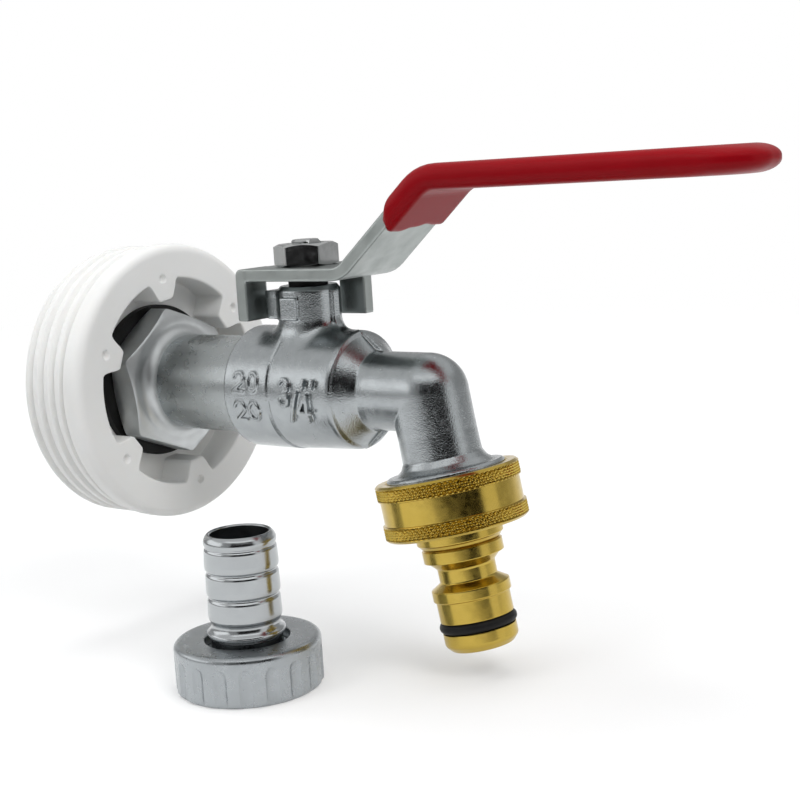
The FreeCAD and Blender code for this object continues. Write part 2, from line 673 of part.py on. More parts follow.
def stem():
    body = new_body("stem")
    collar_top = s.neck_floor - s.thrust_thickness
    collar_low = collar_top - s.stem_collar_height
    groove_half = s.ring_section / 2 + 0.1
    groove_radius = s.stem_radius - s.ring_section + 0.05
    turned(body, [
        (0, collar_low),
        (s.stem_collar_radius, collar_low),
        (s.stem_collar_radius, collar_top),
        (s.stem_radius, collar_top),
        (s.stem_radius, s.ring_groove_height - groove_half),
        (groove_radius, s.ring_groove_height - groove_half),
        (groove_radius, s.ring_groove_height + groove_half),
        (s.stem_radius, s.ring_groove_height + groove_half),
        (s.stem_radius, nut_top + s.stem_end - 0.6),
        (s.stem_radius - 0.6, nut_top + s.stem_end),
        (0, nut_top + s.stem_end),
    ], role="XZ_Plane", axis="V_Axis", name="Shaft")
    tongue_sketch = sketch_on(body, "XY_Plane", "TongueOutline", base=(0, 0, collar_low - s.tongue_depth))
    half_width = s.tongue_width / 2
    half_length = s.tongue_length / 2
    outline(tongue_sketch, [(-half_width, -half_length), (half_width, -half_length),
                            (half_width, half_length), (-half_width, half_length)])
    padded(body, tongue_sketch, s.tongue_depth + 0.5, "Tongue")
    flats_sketch = sketch_on(body, "XY_Plane", "FlatsOutline", base=(0, 0, s.plate_low - 0.2))
    for side in (1, -1):
        outline(flats_sketch, [
            (side * s.stem_flats / 2, -s.stem_radius - 1),
            (side * (s.stem_radius + 1), -s.stem_radius - 1),
            (side * (s.stem_radius + 1), s.stem_radius + 1),
            (side * s.stem_flats / 2, s.stem_radius + 1),
        ])
    flats = padded(body, flats_sketch, s.nut_height + s.plate_thickness + s.stem_end + 1, "Flats", cut=True)
    flats.Reversed = True
    stand_at(body, x=s.stem_x)
    return body


def upright_ring(name, low, height, inner, outer, x, y=0, z=0):
    body = new_body(name)
    turned(body, [(inner, low), (outer, low), (outer, low + height), (inner, low + height)],
           role="XZ_Plane", axis="V_Axis")
    stand_at(body, x=x, y=y, z=z)
    return body


def strip_side(sketch, start, end, grow):
    """Side view of the bent strip from start to end, grown by grow on every side."""
    half_bend = tangent(s.arm_slope / 2)
    top = plate_top + grow
    low = s.plate_low - grow
    upper_bend = s.first_bend - grow * half_bend
    lower_bend = s.first_bend + (s.plate_thickness + grow) * half_bend
    run = s.handle_rise / tangent(s.arm_slope)
    upper_turn = upper_bend + run
    lower_turn = lower_bend + run
    slope = tangent(s.arm_slope)
    corners = []
    if number(start) < number(s.first_bend):
        corners += [(start, low), (lower_bend, low)]
    else:
        corners.append((start, low + (start - lower_bend) * slope))
    corners += [
        (lower_turn, low + s.handle_rise),
        (end, low + s.handle_rise),
        (end, top + s.handle_rise),
        (upper_turn, top + s.handle_rise),
    ]
    if number(start) < number(s.first_bend):
        corners += [(upper_bend, top), (start, top)]
    else:
        corners.append((start, top + (start - upper_bend) * slope))
    outline(sketch, corners)


def strip_plan(body, end, grow):
    """Cut the strip's outline in plan: the sides taper and the tip's corners are rounded."""
    half_start = s.plate_width / 2 + grow
    half_end = s.handle_width / 2 + grow
    corner = s.tip_round + grow
    sketch = sketch_on(body, "XY_Plane", "PlanOutline")
    wide = half_start + s.cut_margin
    beyond = end + s.cut_margin
    outline(sketch, [
        (s.taper_start, -wide),
        (beyond, -wide),
        (beyond, wide),
        (s.taper_start, wide),
        (s.taper_start, half_start),
        (end - corner, half_end, corner, "right"),
        (end, half_end - corner),
        (end, corner - half_end, corner, "right"),
        (end - corner, -half_end),
        (s.taper_start, -half_start),
    ])
    height = 2 * (plate_top + s.handle_rise + s.cut_margin)
    padded(body, sketch, height, "Plan", cut=True, middle=True)


def lever():
    body = new_body("lever")
    side = sketch_on(body, "XZ_Plane", "SideOutline")
    strip_side(side, -s.plate_rear, s.lever_reach, 0)
    padded(body, side, s.plate_width, "Strip", middle=True)
    strip_plan(body, s.lever_reach, 0)
    rear_tab = sketch_on(body, "XZ_Plane", "RearTabOutline", base=(0, 0, s.stop_half + s.tab_clearance))
    outline(rear_tab, [
        (-s.plate_rear, s.tab_low),
        (-s.plate_rear, plate_top, s.plate_thickness, "left"),
        (-s.plate_rear - s.plate_thickness, s.plate_low),
        (-s.plate_rear - s.plate_thickness, s.tab_low),
    ])
    padded(body, rear_tab, s.tab_length, "RearTab")
    side_tab = sketch_on(body, "YZ_Plane", "SideTabOutline", base=(0, 0, s.stop_half + s.tab_clearance))
    outline(side_tab, [
        (s.side_tab_inset, s.tab_low),
        (s.side_tab_inset + s.plate_thickness, s.tab_low),
        (s.side_tab_inset + s.plate_thickness, s.plate_low, s.plate_thickness, "left"),
        (s.side_tab_inset, plate_top),
    ])
    padded(body, side_tab, s.tab_length, "SideTab")
    hole = sketch_on(body, "XY_Plane", "HoleOutline", base=(0, 0, s.plate_low - 1))
    radius = s.stem_radius + s.stem_gap
    flat = s.stem_flats / 2 + s.stem_gap
    rise = root(radius * radius - flat * flat)
    outline(hole, [(-flat, -rise, radius, "left"), (flat, -rise), (flat, rise, radius, "left"), (-flat, rise)])
    cut = padded(body, hole, s.plate_thickness + 2, "Hole", cut=True, reverse=True)
    document.recompute()
    half_bend = tangent(s.arm_slope / 2)
    run = s.handle_rise / tangent(s.arm_slope)
    lower_bend = s.first_bend + s.plate_thickness * half_bend
    inner = [(s.first_bend, plate_top), (lower_bend + run, s.plate_low + s.handle_rise)]
    outer = [(lower_bend, s.plate_low), (s.first_bend + run, plate_top + s.handle_rise)]
    along = FreeCAD.Vector(0, 1, 0)
    inside = rounded(body, cut, straight_edges(cut.Shape, along, inner), s.bend_radius, "InsideBends")
    document.recompute()
    rounded(body, inside, straight_edges(inside.Shape, along, outer),
            s.bend_radius + s.plate_thickness, "OutsideBends")
    stand_at(body, x=s.stem_x)
    return body


def lever_grip(steel):
    form = new_body("GripForm")
    side = sketch_on(form, "XZ_Plane", "SideOutline")
    grow = s.grip_thickness
    strip_side(side, s.grip_start, s.lever_reach + grow, grow)
    padded(form, side, s.plate_width + 2 * grow, "Strip", middle=True)
    strip_plan(form, s.lever_reach + grow, grow)
    stand_at(form, x=s.stem_x)
    grip = document.addObject("Part::Cut", "lever_grip")
    grip.Label = "lever_grip"
    grip.Base = form
    grip.Tool = steel
    return grip


def lever_nut():
    body = new_body("lever_nut")
    sketch = sketch_on(body, "XY_Plane", "HexOutline", base=(0, 0, plate_top))
    hexagon(sketch, s.nut_flats, s.nut_turn)
    ring(sketch, s.stem_radius + s.thread_gap)
    padded(body, sketch, s.nut_height, "Hex")
    edge = s.nut_flats / 2
    turned(body, [
        (edge, nut_top + 0.1),
        (edge + 2.2, nut_top - 1.1),
        (edge + 2.2, nut_top + 0.1),
    ], role="XZ_Plane", axis="V_Axis", cut=True, name="TopChamfer")
    stand_at(body, x=s.stem_x)
    return body


def quick_connector():
    body = new_body("quick_connector")
    ring_end = s.ring_start + s.ring_length
    socket = s.pipe_thread_radius + s.thread_gap
    socket_end = s.outlet_end + s.packing_thickness
    bead_end = ring_end + s.bead_length
    drum_start = bead_end + 1.2
    drum_end = drum_start + s.drum_length
    latch_top = s.latch_start + s.latch_slope
    latch_end = latch_top + s.latch_length
    groove_radius = s.latch_radius - s.nose_ring_section - 0.1
    groove_end = s.nose_ring_start + s.nose_ring_section + 0.2
    turned(body, [
        (s.ring_start, socket),
        (s.ring_start, s.knurl_radius - s.ring_chamfer),
        (s.ring_start + s.ring_chamfer, s.knurl_radius),
        (s.ring_start + s.knurl_width - 0.3, s.knurl_radius),
        (s.ring_start + s.knurl_width, s.band_radius),
        (ring_end - s.knurl_width, s.band_radius),
        (ring_end - s.knurl_width + 0.3, s.knurl_radius),
        (ring_end - s.ring_chamfer, s.knurl_radius),
        (ring_end, s.knurl_radius - s.ring_chamfer),
        (ring_end, s.bead_radius),
        (bead_end - 0.3, s.bead_radius),
        (bead_end, s.bead_radius - 0.4),
        (drum_start, s.drum_radius - 0.5),
        (drum_start, s.drum_radius),
        (drum_end, s.drum_radius),
        (drum_end, s.drum_radius - 0.8),
        (s.waist_start, s.neck_small_radius),
        (s.latch_start, s.neck_small_radius),
        (latch_top, s.latch_radius),
        (latch_end, s.latch_radius),
        (latch_end + 0.2, s.nose_radius),
        (s.nose_ring_start, s.nose_radius),
        (s.nose_ring_start, groove_radius),
        (groove_end, groove_radius),
        (groove_end, s.nose_radius),
        (s.nose_end - s.nose_lead, s.nose_radius),
        (s.nose_end, s.nose_radius - 1.3),
        (s.nose_end, s.nose_bore_radius),
        (socket_end, s.nose_bore_radius),
        (socket_end, socket),
    ])
    hang_on_outlet(body)
    return body


def connector_washer():
    body = new_body("connector_washer")
    end = s.outlet_end + s.packing_thickness
    turned(body, [
        (s.outlet_end, s.packing_bore),
        (s.outlet_end, s.pipe_thread_radius - 0.1),
        (end, s.pipe_thread_radius - 0.1),
        (end, s.packing_bore),
    ])
    hang_on_outlet(body)
    return body


def connector_o_ring():
    middle = s.nose_ring_start + s.nose_ring_section / 2 + 0.1
    centre_radius = s.latch_radius - 0.05 - s.nose_ring_section / 2
    return torus("connector_o_ring", centre_radius, s.nose_ring_section,
                 x=s.elbow_x + middle * sine(s.outlet_tilt), z=-(middle * cosine(s.outlet_tilt)),
                 tilt=180 - s.outlet_tilt)


def union_nut():
    body = new_body("union_nut")
    relief_end = s.union_height - s.union_lip
    turned(body, [
        (s.union_thread_radius, 0),
        (s.union_radius - 0.6, 0),
        (s.union_radius, 0.6),
        (s.union_radius, s.union_height - 1.4, 1.4, "left"),
        (s.union_radius - 1.4, s.union_height),
        (s.union_hole_radius, s.union_height),
        (s.union_hole_radius, relief_end),
        (s.union_relief_radius, relief_end),
        (s.union_relief_radius, s.union_thread_length),
        (s.union_thread_radius, s.union_thread_length),
    ], role="XZ_Plane", axis="V_Axis", name="Shell")
    sketch = sketch_on(body, "XY_Plane", "FluteOutline")
    ring(sketch, s.flute_radius, (s.union_radius + s.flute_radius - s.flute_depth, 0))
    flute = padded(body, sketch, s.union_height - s.flute_top, "Flute", cut=True, reverse=True)
    around(body, [flute], s.flute_count, "Z_Axis", "Flutes")
    stand_at(body, x=s.tail_x, y=s.tail_y, z=s.tail_base)
    return body


def hose_tail():
    body = new_body("hose_tail")
    flange_top = s.union_height - s.union_lip - s.tail_gap
    flange_low = s.union_thread_length + s.tail_gap * 2 + s.tail_washer_thickness
    top = s.union_height + s.tail_above
    bead = s.union_height + s.bead_above
    corners = [
        (s.tail_bore_radius, flange_low),
        (s.tail_flange_radius, flange_low),
        (s.tail_flange_radius, flange_top),
        (s.tail_root_radius + 0.3, flange_top),
        (s.tail_root_radius + 0.3, bead - 1.2),
        (s.barb_radius + 0.5, bead - 0.7),
        (s.barb_radius + 0.5, bead),
        (s.tail_root_radius, bead + 0.5),
    ]
    for step in range(int(number(s.barb_count))):
        crest = s.union_height + s.barb_first + s.barb_step * step
        corners += [
            (s.tail_root_radius, crest - 0.5),
            (s.barb_radius, crest),
            (s.barb_radius, crest + s.barb_land),
            (s.tail_root_radius, crest + s.barb_step - 0.9),
        ]
    corners += [
        (s.tail_root_radius, top - 1.6),
        (s.tail_root_radius + 0.35, top - 1.2),
        (s.tail_root_radius + 0.35, top - 0.5, 0.5, "left"),
        (s.tail_root_radius - 0.15, top),
        (s.tail_bore_radius + 0.2, top),
        (s.tail_bore_radius, top - 0.4),
    ]
    turned(body, corners, role="XZ_Plane", axis="V_Axis")
    stand_at(body, x=s.tail_x, y=s.tail_y, z=s.tail_base)
    return body


def build():
    pieces = [
        drum_adapter(),
        flat_ring("inlet_washer", recess_floor, s.washer_thickness, s.pipe_thread_radius, s.washer_radius),
        inlet_nipple(),
        torus("body_joint_ring", s.spigot_radius + s.thread_gap - s.joint_ring_section / 2 - 0.05,
              s.joint_ring_section - 0.05, x=joint_groove + 0.2 + s.joint_ring_section / 2, tilt=90),
        valve_body(),
        seat_ring("seat_ring_rear", -1),
        seat_ring("seat_ring_front", 1),
        valve_ball(),
        stem(),
        upright_ring("stem_thrust_washer", s.neck_floor - s.thrust_thickness, s.thrust_thickness,
                     s.stem_radius + s.stem_gap, s.stem_collar_radius + 0.2, s.stem_x),
        torus("stem_o_ring", s.stem_radius - s.ring_section / 2 + 0.02, s.ring_section - 0.06,
              x=s.stem_x, z=s.ring_groove_height),
        upright_ring("gland_ring", s.neck_top, s.plate_low - s.neck_top - 0.1,
                     s.stem_radius + s.stem_gap, s.gland_radius, s.stem_x),
    ]
    steel = lever()
    pieces += [
        steel,
        lever_grip(steel),
        lever_nut(),
        quick_connector(),
        connector_washer(),
        connector_o_ring(),
        union_nut(),
        hose_tail(),
        upright_ring("tail_washer", s.union_thread_length + s.tail_gap, s.tail_washer_thickness,
                     s.tail_washer_bore, s.tail_washer_radius, s.tail_x, s.tail_y, s.tail_base),
    ]
    document.recompute()
    return pieces


def check(pieces):
    for thing in document.Objects:
        if "Invalid" in thing.State or "Error" in thing.State:
            raise RuntimeError(f"{thing.Name} failed: {thing.State}")
    for piece in pieces:
        shape = piece.Shape
        if shape.isNull() or not shape.isValid() or not shape.Solids:
            raise RuntimeError(f"{piece.Label} is not a valid solid")


pieces = build()
check(pieces)
os.makedirs("parts", exist_ok=True)
for piece in pieces:
    piece.Shape.exportStep(f"parts/{piece.Label}.step")
    box = piece.Shape.BoundBox
    print(f"{piece.Label}: {len(piece.Shape.Solids)} solid, {piece.Shape.Volume:.0f} mm3, "
          f"x {box.XMin:.1f} to {box.XMax:.1f}, y {box.YMin:.1f} to {box.YMax:.1f}, "
          f"z {box.ZMin:.1f} to {box.ZMax:.1f}")
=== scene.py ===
import math

import bpy
import numpy as np
from mathutils import Matrix, Vector


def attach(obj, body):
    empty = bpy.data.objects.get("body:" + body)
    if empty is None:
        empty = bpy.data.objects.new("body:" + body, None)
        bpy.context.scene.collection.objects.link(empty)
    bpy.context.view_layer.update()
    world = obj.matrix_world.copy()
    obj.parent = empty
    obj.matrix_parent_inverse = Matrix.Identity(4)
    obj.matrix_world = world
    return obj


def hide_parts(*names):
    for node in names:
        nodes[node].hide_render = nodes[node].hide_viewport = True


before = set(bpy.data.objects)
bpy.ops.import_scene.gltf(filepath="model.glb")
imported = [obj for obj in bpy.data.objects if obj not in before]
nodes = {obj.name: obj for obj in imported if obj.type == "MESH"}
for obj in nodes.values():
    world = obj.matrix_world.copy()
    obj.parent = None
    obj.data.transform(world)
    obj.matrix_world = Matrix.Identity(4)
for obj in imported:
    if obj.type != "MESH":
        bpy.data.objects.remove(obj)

# Millimetres in this script are in the CAD frame: X along the tap, out of the drum; Z up the valve's stem.
MM = 0.001
FULL_TURN = 2 * math.pi
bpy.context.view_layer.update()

# ---------------------------------------------------------------- sizes
TAP_ORIGIN = (0, 0, 0)
STEM_X = 48.0
ELBOW_X = 80.0
TILT = math.radians(11)
FLOOR_Z = -61.8
TAIL = (48.0, -29.0, FLOOR_Z)

RIM_FRONT, RIM_RADIUS, RIM_ROUND = 5.0, 33.7, 2.2
CREST_RADIUS, THREAD_DEPTH, BUNG_PITCH, SKIRT_LENGTH = 33.3, 1.7, 3.8, 15.0
RECESS_RADIUS, RECESS_FLOOR = 25.4, -4.3
LUG_TIP, LUG_HALF = 20.3, 2.4
DIMPLE_AT, DIMPLE_RADIUS, DIMPLE_DEPTH = 25.7, 1.15, 1.0
# degrees round the tap, both of a lug's middle and of the inlet hexagon's corner
LUG_TURN = 38

HEX_REAR, HEX_FRONT = -2.3, 5.2
HEX_SLOPE = 0.46
TUBE_RADIUS, TUBE_FILLET = 11.5, 2.7
SPOUT_RADIUS, WAY_RADIUS = 8.8, 6.6
FIGURE_ARC, FIGURE_TOP, FIGURE_ROOT = 14.1, 14.75, 12.5

PLATE_LOW, PLATE_TOP, PLATE_THICK = 25.2, 28.1, 2.9
LEVER_REACH, LEVER_RISE, LEVER_HALF, TIP_HALF = 110.8, 19.7, 9.85, 8.7
BEND_START, TAPER_START = 16.4, 18.4
TIP_ROUND = 7.5
# the steel ends this much short of the reach, hidden in the sleeve
STEEL_SHORT = 1.0
SLEEVE_THICK, SLEEVE_START = 1.3, 29.9
TAB_HALF, TAB_MIDDLE = 3.7, 6.1

NUT_TOP = 33.1
STEM_RADIUS, STEM_FLAT, STEM_TOP = 3.6, 2.7, 34.0
G34_PITCH = 1.814
BAND_RADIUS, KNURL_TEETH, KNURL_LEAD, KNURL_DEPTH = 15.95, 84, 1.12, 0.5
NOSE_BORE = 5.2
NOSE_RING_ALONG, NOSE_RING_THICK = 50.85, 1.15
UNION_RADIUS, UNION_FLUTES, FLUTE_RADIUS, FLUTE_DEPTH = 16.2, 18, 2.3, 0.62


# ---------------------------------------------------------------- mesh helpers
def finish_mesh(name, verts, faces, body, slot, stands_for, angle=38, weighted=True):
    """Make a closed mesh (mm) a piece of the model that rides on a body."""
    mesh = bpy.data.meshes.new(name)
    mesh.from_pydata((np.asarray(verts, dtype=float) * MM).tolist(), [], faces)
    mesh.validate()
    places = np.zeros(len(mesh.vertices) * 3)
    mesh.vertices.foreach_get("co", places)
    places = places.reshape(-1, 3)
    mesh.calc_loop_triangles()
    triangles = np.zeros(len(mesh.loop_triangles) * 3, dtype=np.int32)
    mesh.loop_triangles.foreach_get("vertices", triangles)
    a, b, c = (places[triangles.reshape(-1, 3)[:, k]] for k in range(3))
    volume = np.einsum("ij,ij->i", a, np.cross(b, c)).sum()
    if volume < 0:
        mesh.flip_normals()
    shade_smooth(mesh, angle)
    piece = bpy.data.objects.new(name, mesh)
    bpy.context.scene.collection.objects.link(piece)
    if weighted:
        modifier = piece.modifiers.new("FaceWeights", "WEIGHTED_NORMAL")
        modifier.keep_sharp = True
        modifier.weight = 60
    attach(piece, body)
    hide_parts(*stands_for)
    return piece


def shade_smooth(mesh, angle):
    """Smooth shading, but for edges sharper than the angle in degrees."""
    mesh.polygons.foreach_set("use_smooth", np.ones(len(mesh.polygons), dtype=bool))
    mesh.set_sharp_from_angle(angle=math.radians(angle))


def softened(points, steps=4, supported=False):
    """A closed outline of (t, r) or (t, r, rounding): each corner with a rounding becomes a small curve.

    Supported curves get a point on each side, which keeps the shading of the long faces true.
    """
    support = 0.08
    out = []
    for k, point in enumerate(points):
        here = np.array(point[:2], dtype=float)
        rounding = point[2] if len(point) > 2 else 0
        before = np.array(points[k - 1][:2], dtype=float) - here
        after = np.array(points[(k + 1) % len(points)][:2], dtype=float) - here
        before_length, after_length = np.linalg.norm(before), np.linalg.norm(after)
        reach = min(rounding, before_length * 0.45, after_length * 0.45)
        if reach <= 1e-6:
            out.append(here)
            continue
        start, end = here + before / before_length * reach, here + after / after_length * reach
        if supported and before_length > 3 * reach:
            out.append(start + before / before_length * support)
        for step in range(steps + 1):
            u = step / steps
            out.append((1 - u) ** 2 * start + 2 * u * (1 - u) * here + u * u * end)
        if supported and after_length > 3 * reach:
            out.append(end + after / after_length * support)
    return np.array(out)


def circle(count):
    return np.linspace(0, FULL_TURN, count, endpoint=False)


def quarter(steps):
    return [step / steps * math.pi / 2 for step in range(steps + 1)]


def directions(kind):
    """Axis and the two directions across it for pieces turned about the tap, the stem or the outlet."""
    if kind == "tap":
        return np.array([1.0, 0, 0]), np.array([0, 1.0, 0]), np.array([0, 0, 1.0])
    if kind == "outlet":
        return (np.array([math.sin(TILT), 0, -math.cos(TILT)]), np.array([0, 1.0, 0]),
                np.array([math.cos(TILT), 0, math.sin(TILT)]))
    return np.array([0, 0, 1.0]), np.array([1.0, 0, 0]), np.array([0, 1.0, 0])


def polar(name, rows, theta, kind, origin, body, slot, **more):
    """A closed skin from rows of (along, radius), each a number or an array over theta."""
    axis, u, v = directions(kind)
    ones = np.ones_like(theta)
    along = np.array([t * ones for t, _ in rows])
    radius = np.array([r * ones for _, r in rows])
    n_rows, n_cols = radius.shape
    ring = np.cos(theta)[:, None] * u + np.sin(theta)[:, None] * v
    verts = np.array(origin) + along[..., None] * axis + radius[..., None] * ring[None]
    verts = verts.reshape(-1, 3)
    i, j = np.meshgrid(np.arange(n_rows), np.arange(n_cols), indexing="ij")
    i2, j2 = (i + 1) % n_rows, (j + 1) % n_cols
    corners = [i * n_cols + j, i2 * n_cols + j, i2 * n_cols + j2, i * n_cols + j2]
    faces = np.stack(corners, axis=-1).reshape(-1, 4)
    on_axis = np.abs(radius).max(axis=1) < 1e-6
    if on_axis.any():
        # each row on the axis becomes one point, so its faces become triangles or vanish
        merge = np.arange(n_rows * n_cols)
        for row in np.where(on_axis)[0]:
            merge[row * n_cols:(row + 1) * n_cols] = row * n_cols
        keep = [list(dict.fromkeys(face)) for face in merge[faces].tolist()]
        keep = [face for face in keep if len(face) > 2]
        used = np.unique(np.concatenate([np.array(face) for face in keep]))
        lookup = np.full(n_rows * n_cols, -1)
        lookup[used] = np.arange(len(used))
        verts = verts[used]
        faces = [[int(lookup[k]) for k in face] for face in keep]
    else:
        faces = faces.tolist()
    return finish_mesh(name, verts, faces, body, slot, **more)


def smooth_step(x):
    x = np.clip(x, 0, 1)
    return x * x * (3 - 2 * x)


def smoothed(values, weights):
    """Values round a circle, each averaged with its neighbours."""
    reach = len(weights) // 2
    wrapped = np.concatenate([values[-reach:], values, values[:reach]])
    return np.convolve(wrapped, np.array(weights) / sum(weights), mode="valid")


def hexagon_radius(theta, corner, half, limit):
    """Radius of a hexagon that has a corner at the given degrees, its corners cut off at the limit."""
    turn = np.radians((np.degrees(theta) - corner) % 60 - 30)
    return np.minimum(half / np.cos(turn), limit)


def trapezoid(phase, land, flank):
    """Thread form over one turn of phase: 1 on the land, 0 at the root."""
    distance = np.abs((phase + 0.5) % 1 - 0.5)
    return smooth_step((land / 2 + flank - distance) / flank)


def inside_thread(theta, start, end, step, radius, depth, run_in):
    """Rows of a G 3/4 thread in a bore; its groove reaches full depth after the run in."""
    rows = []
    for t in np.arange(start, end, -step):
        groove = 1 - trapezoid(t / G34_PITCH - theta / FULL_TURN, 0.3, 0.3)
        rows.append((t, radius + depth * groove * smooth_step((start - t) / run_in)))
    return rows


# ---------------------------------------------------------------- solid forms with blended joints
def surface(field, low, high, cell):
    """Skin of the form where field(x, y, z) is below 0, found on a grid and then moved onto the form."""
    block = 8
    counts = [int(math.ceil((b - a) / cell / block)) * block for a, b in zip(low, high)]
    axes = [low[k] + cell * np.arange(counts[k]) for k in range(3)]
    # far from the form a coarse grid gives the sign; only blocks near it are filled in
    centres = [axis[block // 2::block] - cell / 2 for axis in axes]
    coarse = field(*np.meshgrid(*centres, indexing="ij"))
    near = np.argwhere(np.abs(coarse) < cell * block * 1.2)
    values = np.sign(coarse)
    for axis in range(3):
        values = np.repeat(values, block, axis)
    values = values.astype(np.float32)
    values *= cell * block
    steps = np.arange(block)
    for k in range(0, len(near), 400):
        part = near[k:k + 400] * block
        gi = (part[:, 0, None] + steps)[:, :, None, None] + np.zeros((1, 1, block, block), int)
        gj = (part[:, 1, None] + steps)[:, None, :, None] + np.zeros((1, block, 1, block), int)
        gk = (part[:, 2, None] + steps)[:, None, None, :] + np.zeros((1, block, block, 1), int)
        values[gi, gj, gk] = field(axes[0][gi], axes[1][gj], axes[2][gk])

    # one point in each cell that the skin passes, at the middle of its crossings with the cell's edges
    inside = values < 0
    corner = [(a, b, c) for a in (0, 1) for b in (0, 1) for c in (0, 1)]
    shape = tuple(n - 1 for n in counts)
    total = np.zeros(shape, dtype=np.int64)
    for a, b, c in corner:
        total += inside[a:a + shape[0], b:b + shape[1], c:c + shape[2]]
    cells = np.argwhere((total > 0) & (total < 8))
    number = np.full(shape, -1, dtype=np.int32)
    number[tuple(cells.T)] = np.arange(len(cells))
    level = [values[cells[:, 0] + a, cells[:, 1] + b, cells[:, 2] + c] for a, b, c in corner]
    place, hits = np.zeros((len(cells), 3)), np.zeros(len(cells))
    for m, first in enumerate(corner):
        for n, second in enumerate(corner):
            if n <= m or sum(abs(p - q) for p, q in zip(first, second)) != 1:
                continue
            crossing = (level[m] < 0) != (level[n] < 0)
            share = level[m] / np.where(crossing, level[m] - level[n], 1)
            point = np.array(first) + share[:, None] * (np.array(second) - np.array(first))
            place += np.where(crossing[:, None], point, 0)
            hits += crossing
    verts = (cells + place / hits[:, None]) * cell + np.array(low)

    # the points then move along the slope onto the form, but stay near their cell
    start = verts.copy()
    tiny = cell * 0.05
    for _ in range(4):
        x, y, z = verts.T
        slope = np.stack([field(x + tiny, y, z) - field(x - tiny, y, z),
                          field(x, y + tiny, z) - field(x, y - tiny, z),
                          field(x, y, z + tiny) - field(x, y, z - tiny)], axis=1) / (2 * tiny)
        size = np.maximum((slope ** 2).sum(axis=1), 0.05)
        move = -(field(x, y, z) / size)[:, None] * slope * 0.8
        verts = start + np.clip(verts + move - start, -cell * 0.6, cell * 0.6)

    # a face for each grid edge that the skin crosses
    quads = []
    for axis in range(3):
        b, c = (axis + 1) % 3, (axis + 2) % 3
        upper, lower = [slice(None)] * 3, [slice(None)] * 3
        upper[axis], lower[axis] = slice(1, None), slice(None, -1)
        edges = np.argwhere(inside[tuple(upper)] != inside[tuple(lower)])
        within = (edges[:, b] > 0) & (edges[:, c] > 0) & (edges[:, b] < shape[b]) & (edges[:, c] < shape[c])
        edges = edges[within]
        ring = []
        for db, dc in ((1, 1), (0, 1), (0, 0), (1, 0)):
            spot = edges.copy()
            spot[:, b] -= db
            spot[:, c] -= dc
            ring.append(number[tuple(spot.T)])
        ring = np.stack(ring, axis=1)
        flip = inside[tuple(edges.T)]
        ring[flip] = ring[flip][:, ::-1]
        quads.append(ring)
    quads = np.concatenate(quads)
    return verts, quads[(quads >= 0).all(axis=1)].tolist()


def section(x, y, corners):
    """Distance to a closed outline in a plane, below 0 inside."""
    best = np.full(np.broadcast(x, y).shape, 1e9)
    sign = np.ones(best.shape)
    for k, (ax, ay) in enumerate(corners):
        bx, by = corners[k - 1]
        ex, ey = bx - ax, by - ay
        wx, wy = x - ax, y - ay
        share = np.clip((wx * ex + wy * ey) / (ex * ex + ey * ey), 0, 1)
        best = np.minimum(best, (wx - ex * share) ** 2 + (wy - ey * share) ** 2)
        above, below, side = y >= ay, y < by, ex * wy > ey * wx
        sign = np.where((above & below & side) | (~above & ~below & ~side), -sign, sign)
    return sign * np.sqrt(best)


def blend(a, b, k):
    """Union of two forms with a rounded inner corner of size k."""
    h = np.maximum(k - np.abs(a - b), 0) / k
    return np.minimum(a, b) - h * h * k * 0.25


def cut(a, b, k):
    """The first form without the second, with a rounded edge of size k."""
    return -blend(-a, b, k)


def block_form(x, y, z, low, high, rounding):
    d = [np.abs(p - (a + b) / 2) - (b - a) / 2 + rounding for p, a, b in zip((x, y, z), low, high)]
    outside = np.sqrt(sum(np.maximum(q, 0) ** 2 for q in d))
    return outside + np.minimum(np.maximum(np.maximum(d[0], d[1]), d[2]), 0) - rounding


def corner_form(a, b):
    """Distance to a square corner, from the distances to its two sides."""
    return np.sqrt(np.maximum(a, 0) ** 2 + np.maximum(b, 0) ** 2) + np.minimum(np.maximum(a, b), 0)


def plate_form(flat, across, half, rounding):
    """An outline given a thickness of 2 half, with its edges rounded."""
    return corner_form(flat + rounding, np.abs(across) - half + rounding) - rounding


def strokes_form(u, w, lines):
    """Distance to the middle lines of drawn figures."""
    best = np.full(np.shape(u), 1e9)
    for line in lines:
        for (ax, ay), (bx, by) in zip(line, line[1:]):
            ex, ey = bx - ax, by - ay
            share = np.clip(((u - ax) * ex + (w - ay) * ey) / max(ex * ex + ey * ey, 1e-9), 0, 1)
            best = np.minimum(best, (u - ax - ex * share) ** 2 + (w - ay - ey * share) ** 2)
    return np.sqrt(best)


def formed(name, field, low, high, cell, body, slot, stands_for):
    verts, faces = surface(field, low, high, cell)
    return finish_mesh(name, verts, faces, body, slot, stands_for, angle=60, weighted=False)


# ---------------------------------------------------------------- the valve's body
def arc(cx, cy, rx, ry, start, end, steps):
    turns = np.radians(np.linspace(start, end, steps + 1))
    return [(cx + rx * math.cos(t), cy + ry * math.sin(t)) for t in turns]


def figure(name, x, y, w, h):
    """Middle lines of a generic figure, w wide and h high, whose lower left corner is (x, y)."""
    if name == "0":
        return [arc(x + w / 2, y + h / 2, w / 2, h / 2, 0, 360, 16)]
    if name == "2":
        bow = arc(x + w / 2, y + h - w / 2, w / 2, w / 2, 165, -30, 9)
        return [bow + [(x, y), (x + w, y)]]
    if name == "3":
        r = h / 4
        upper = arc(x + w / 2, y + 3 * r, w / 2, r, 160, -90, 9)
        return [upper + arc(x + w / 2, y + r, w / 2, r, 90, -160, 9)]
    if name == "4":
        return [[(x + w * 0.75, y), (x + w * 0.75, y + h), (x, y + h * 0.33), (x + w, y + h * 0.33)]]
    return [[(x, y), (x + w, y + h)]]


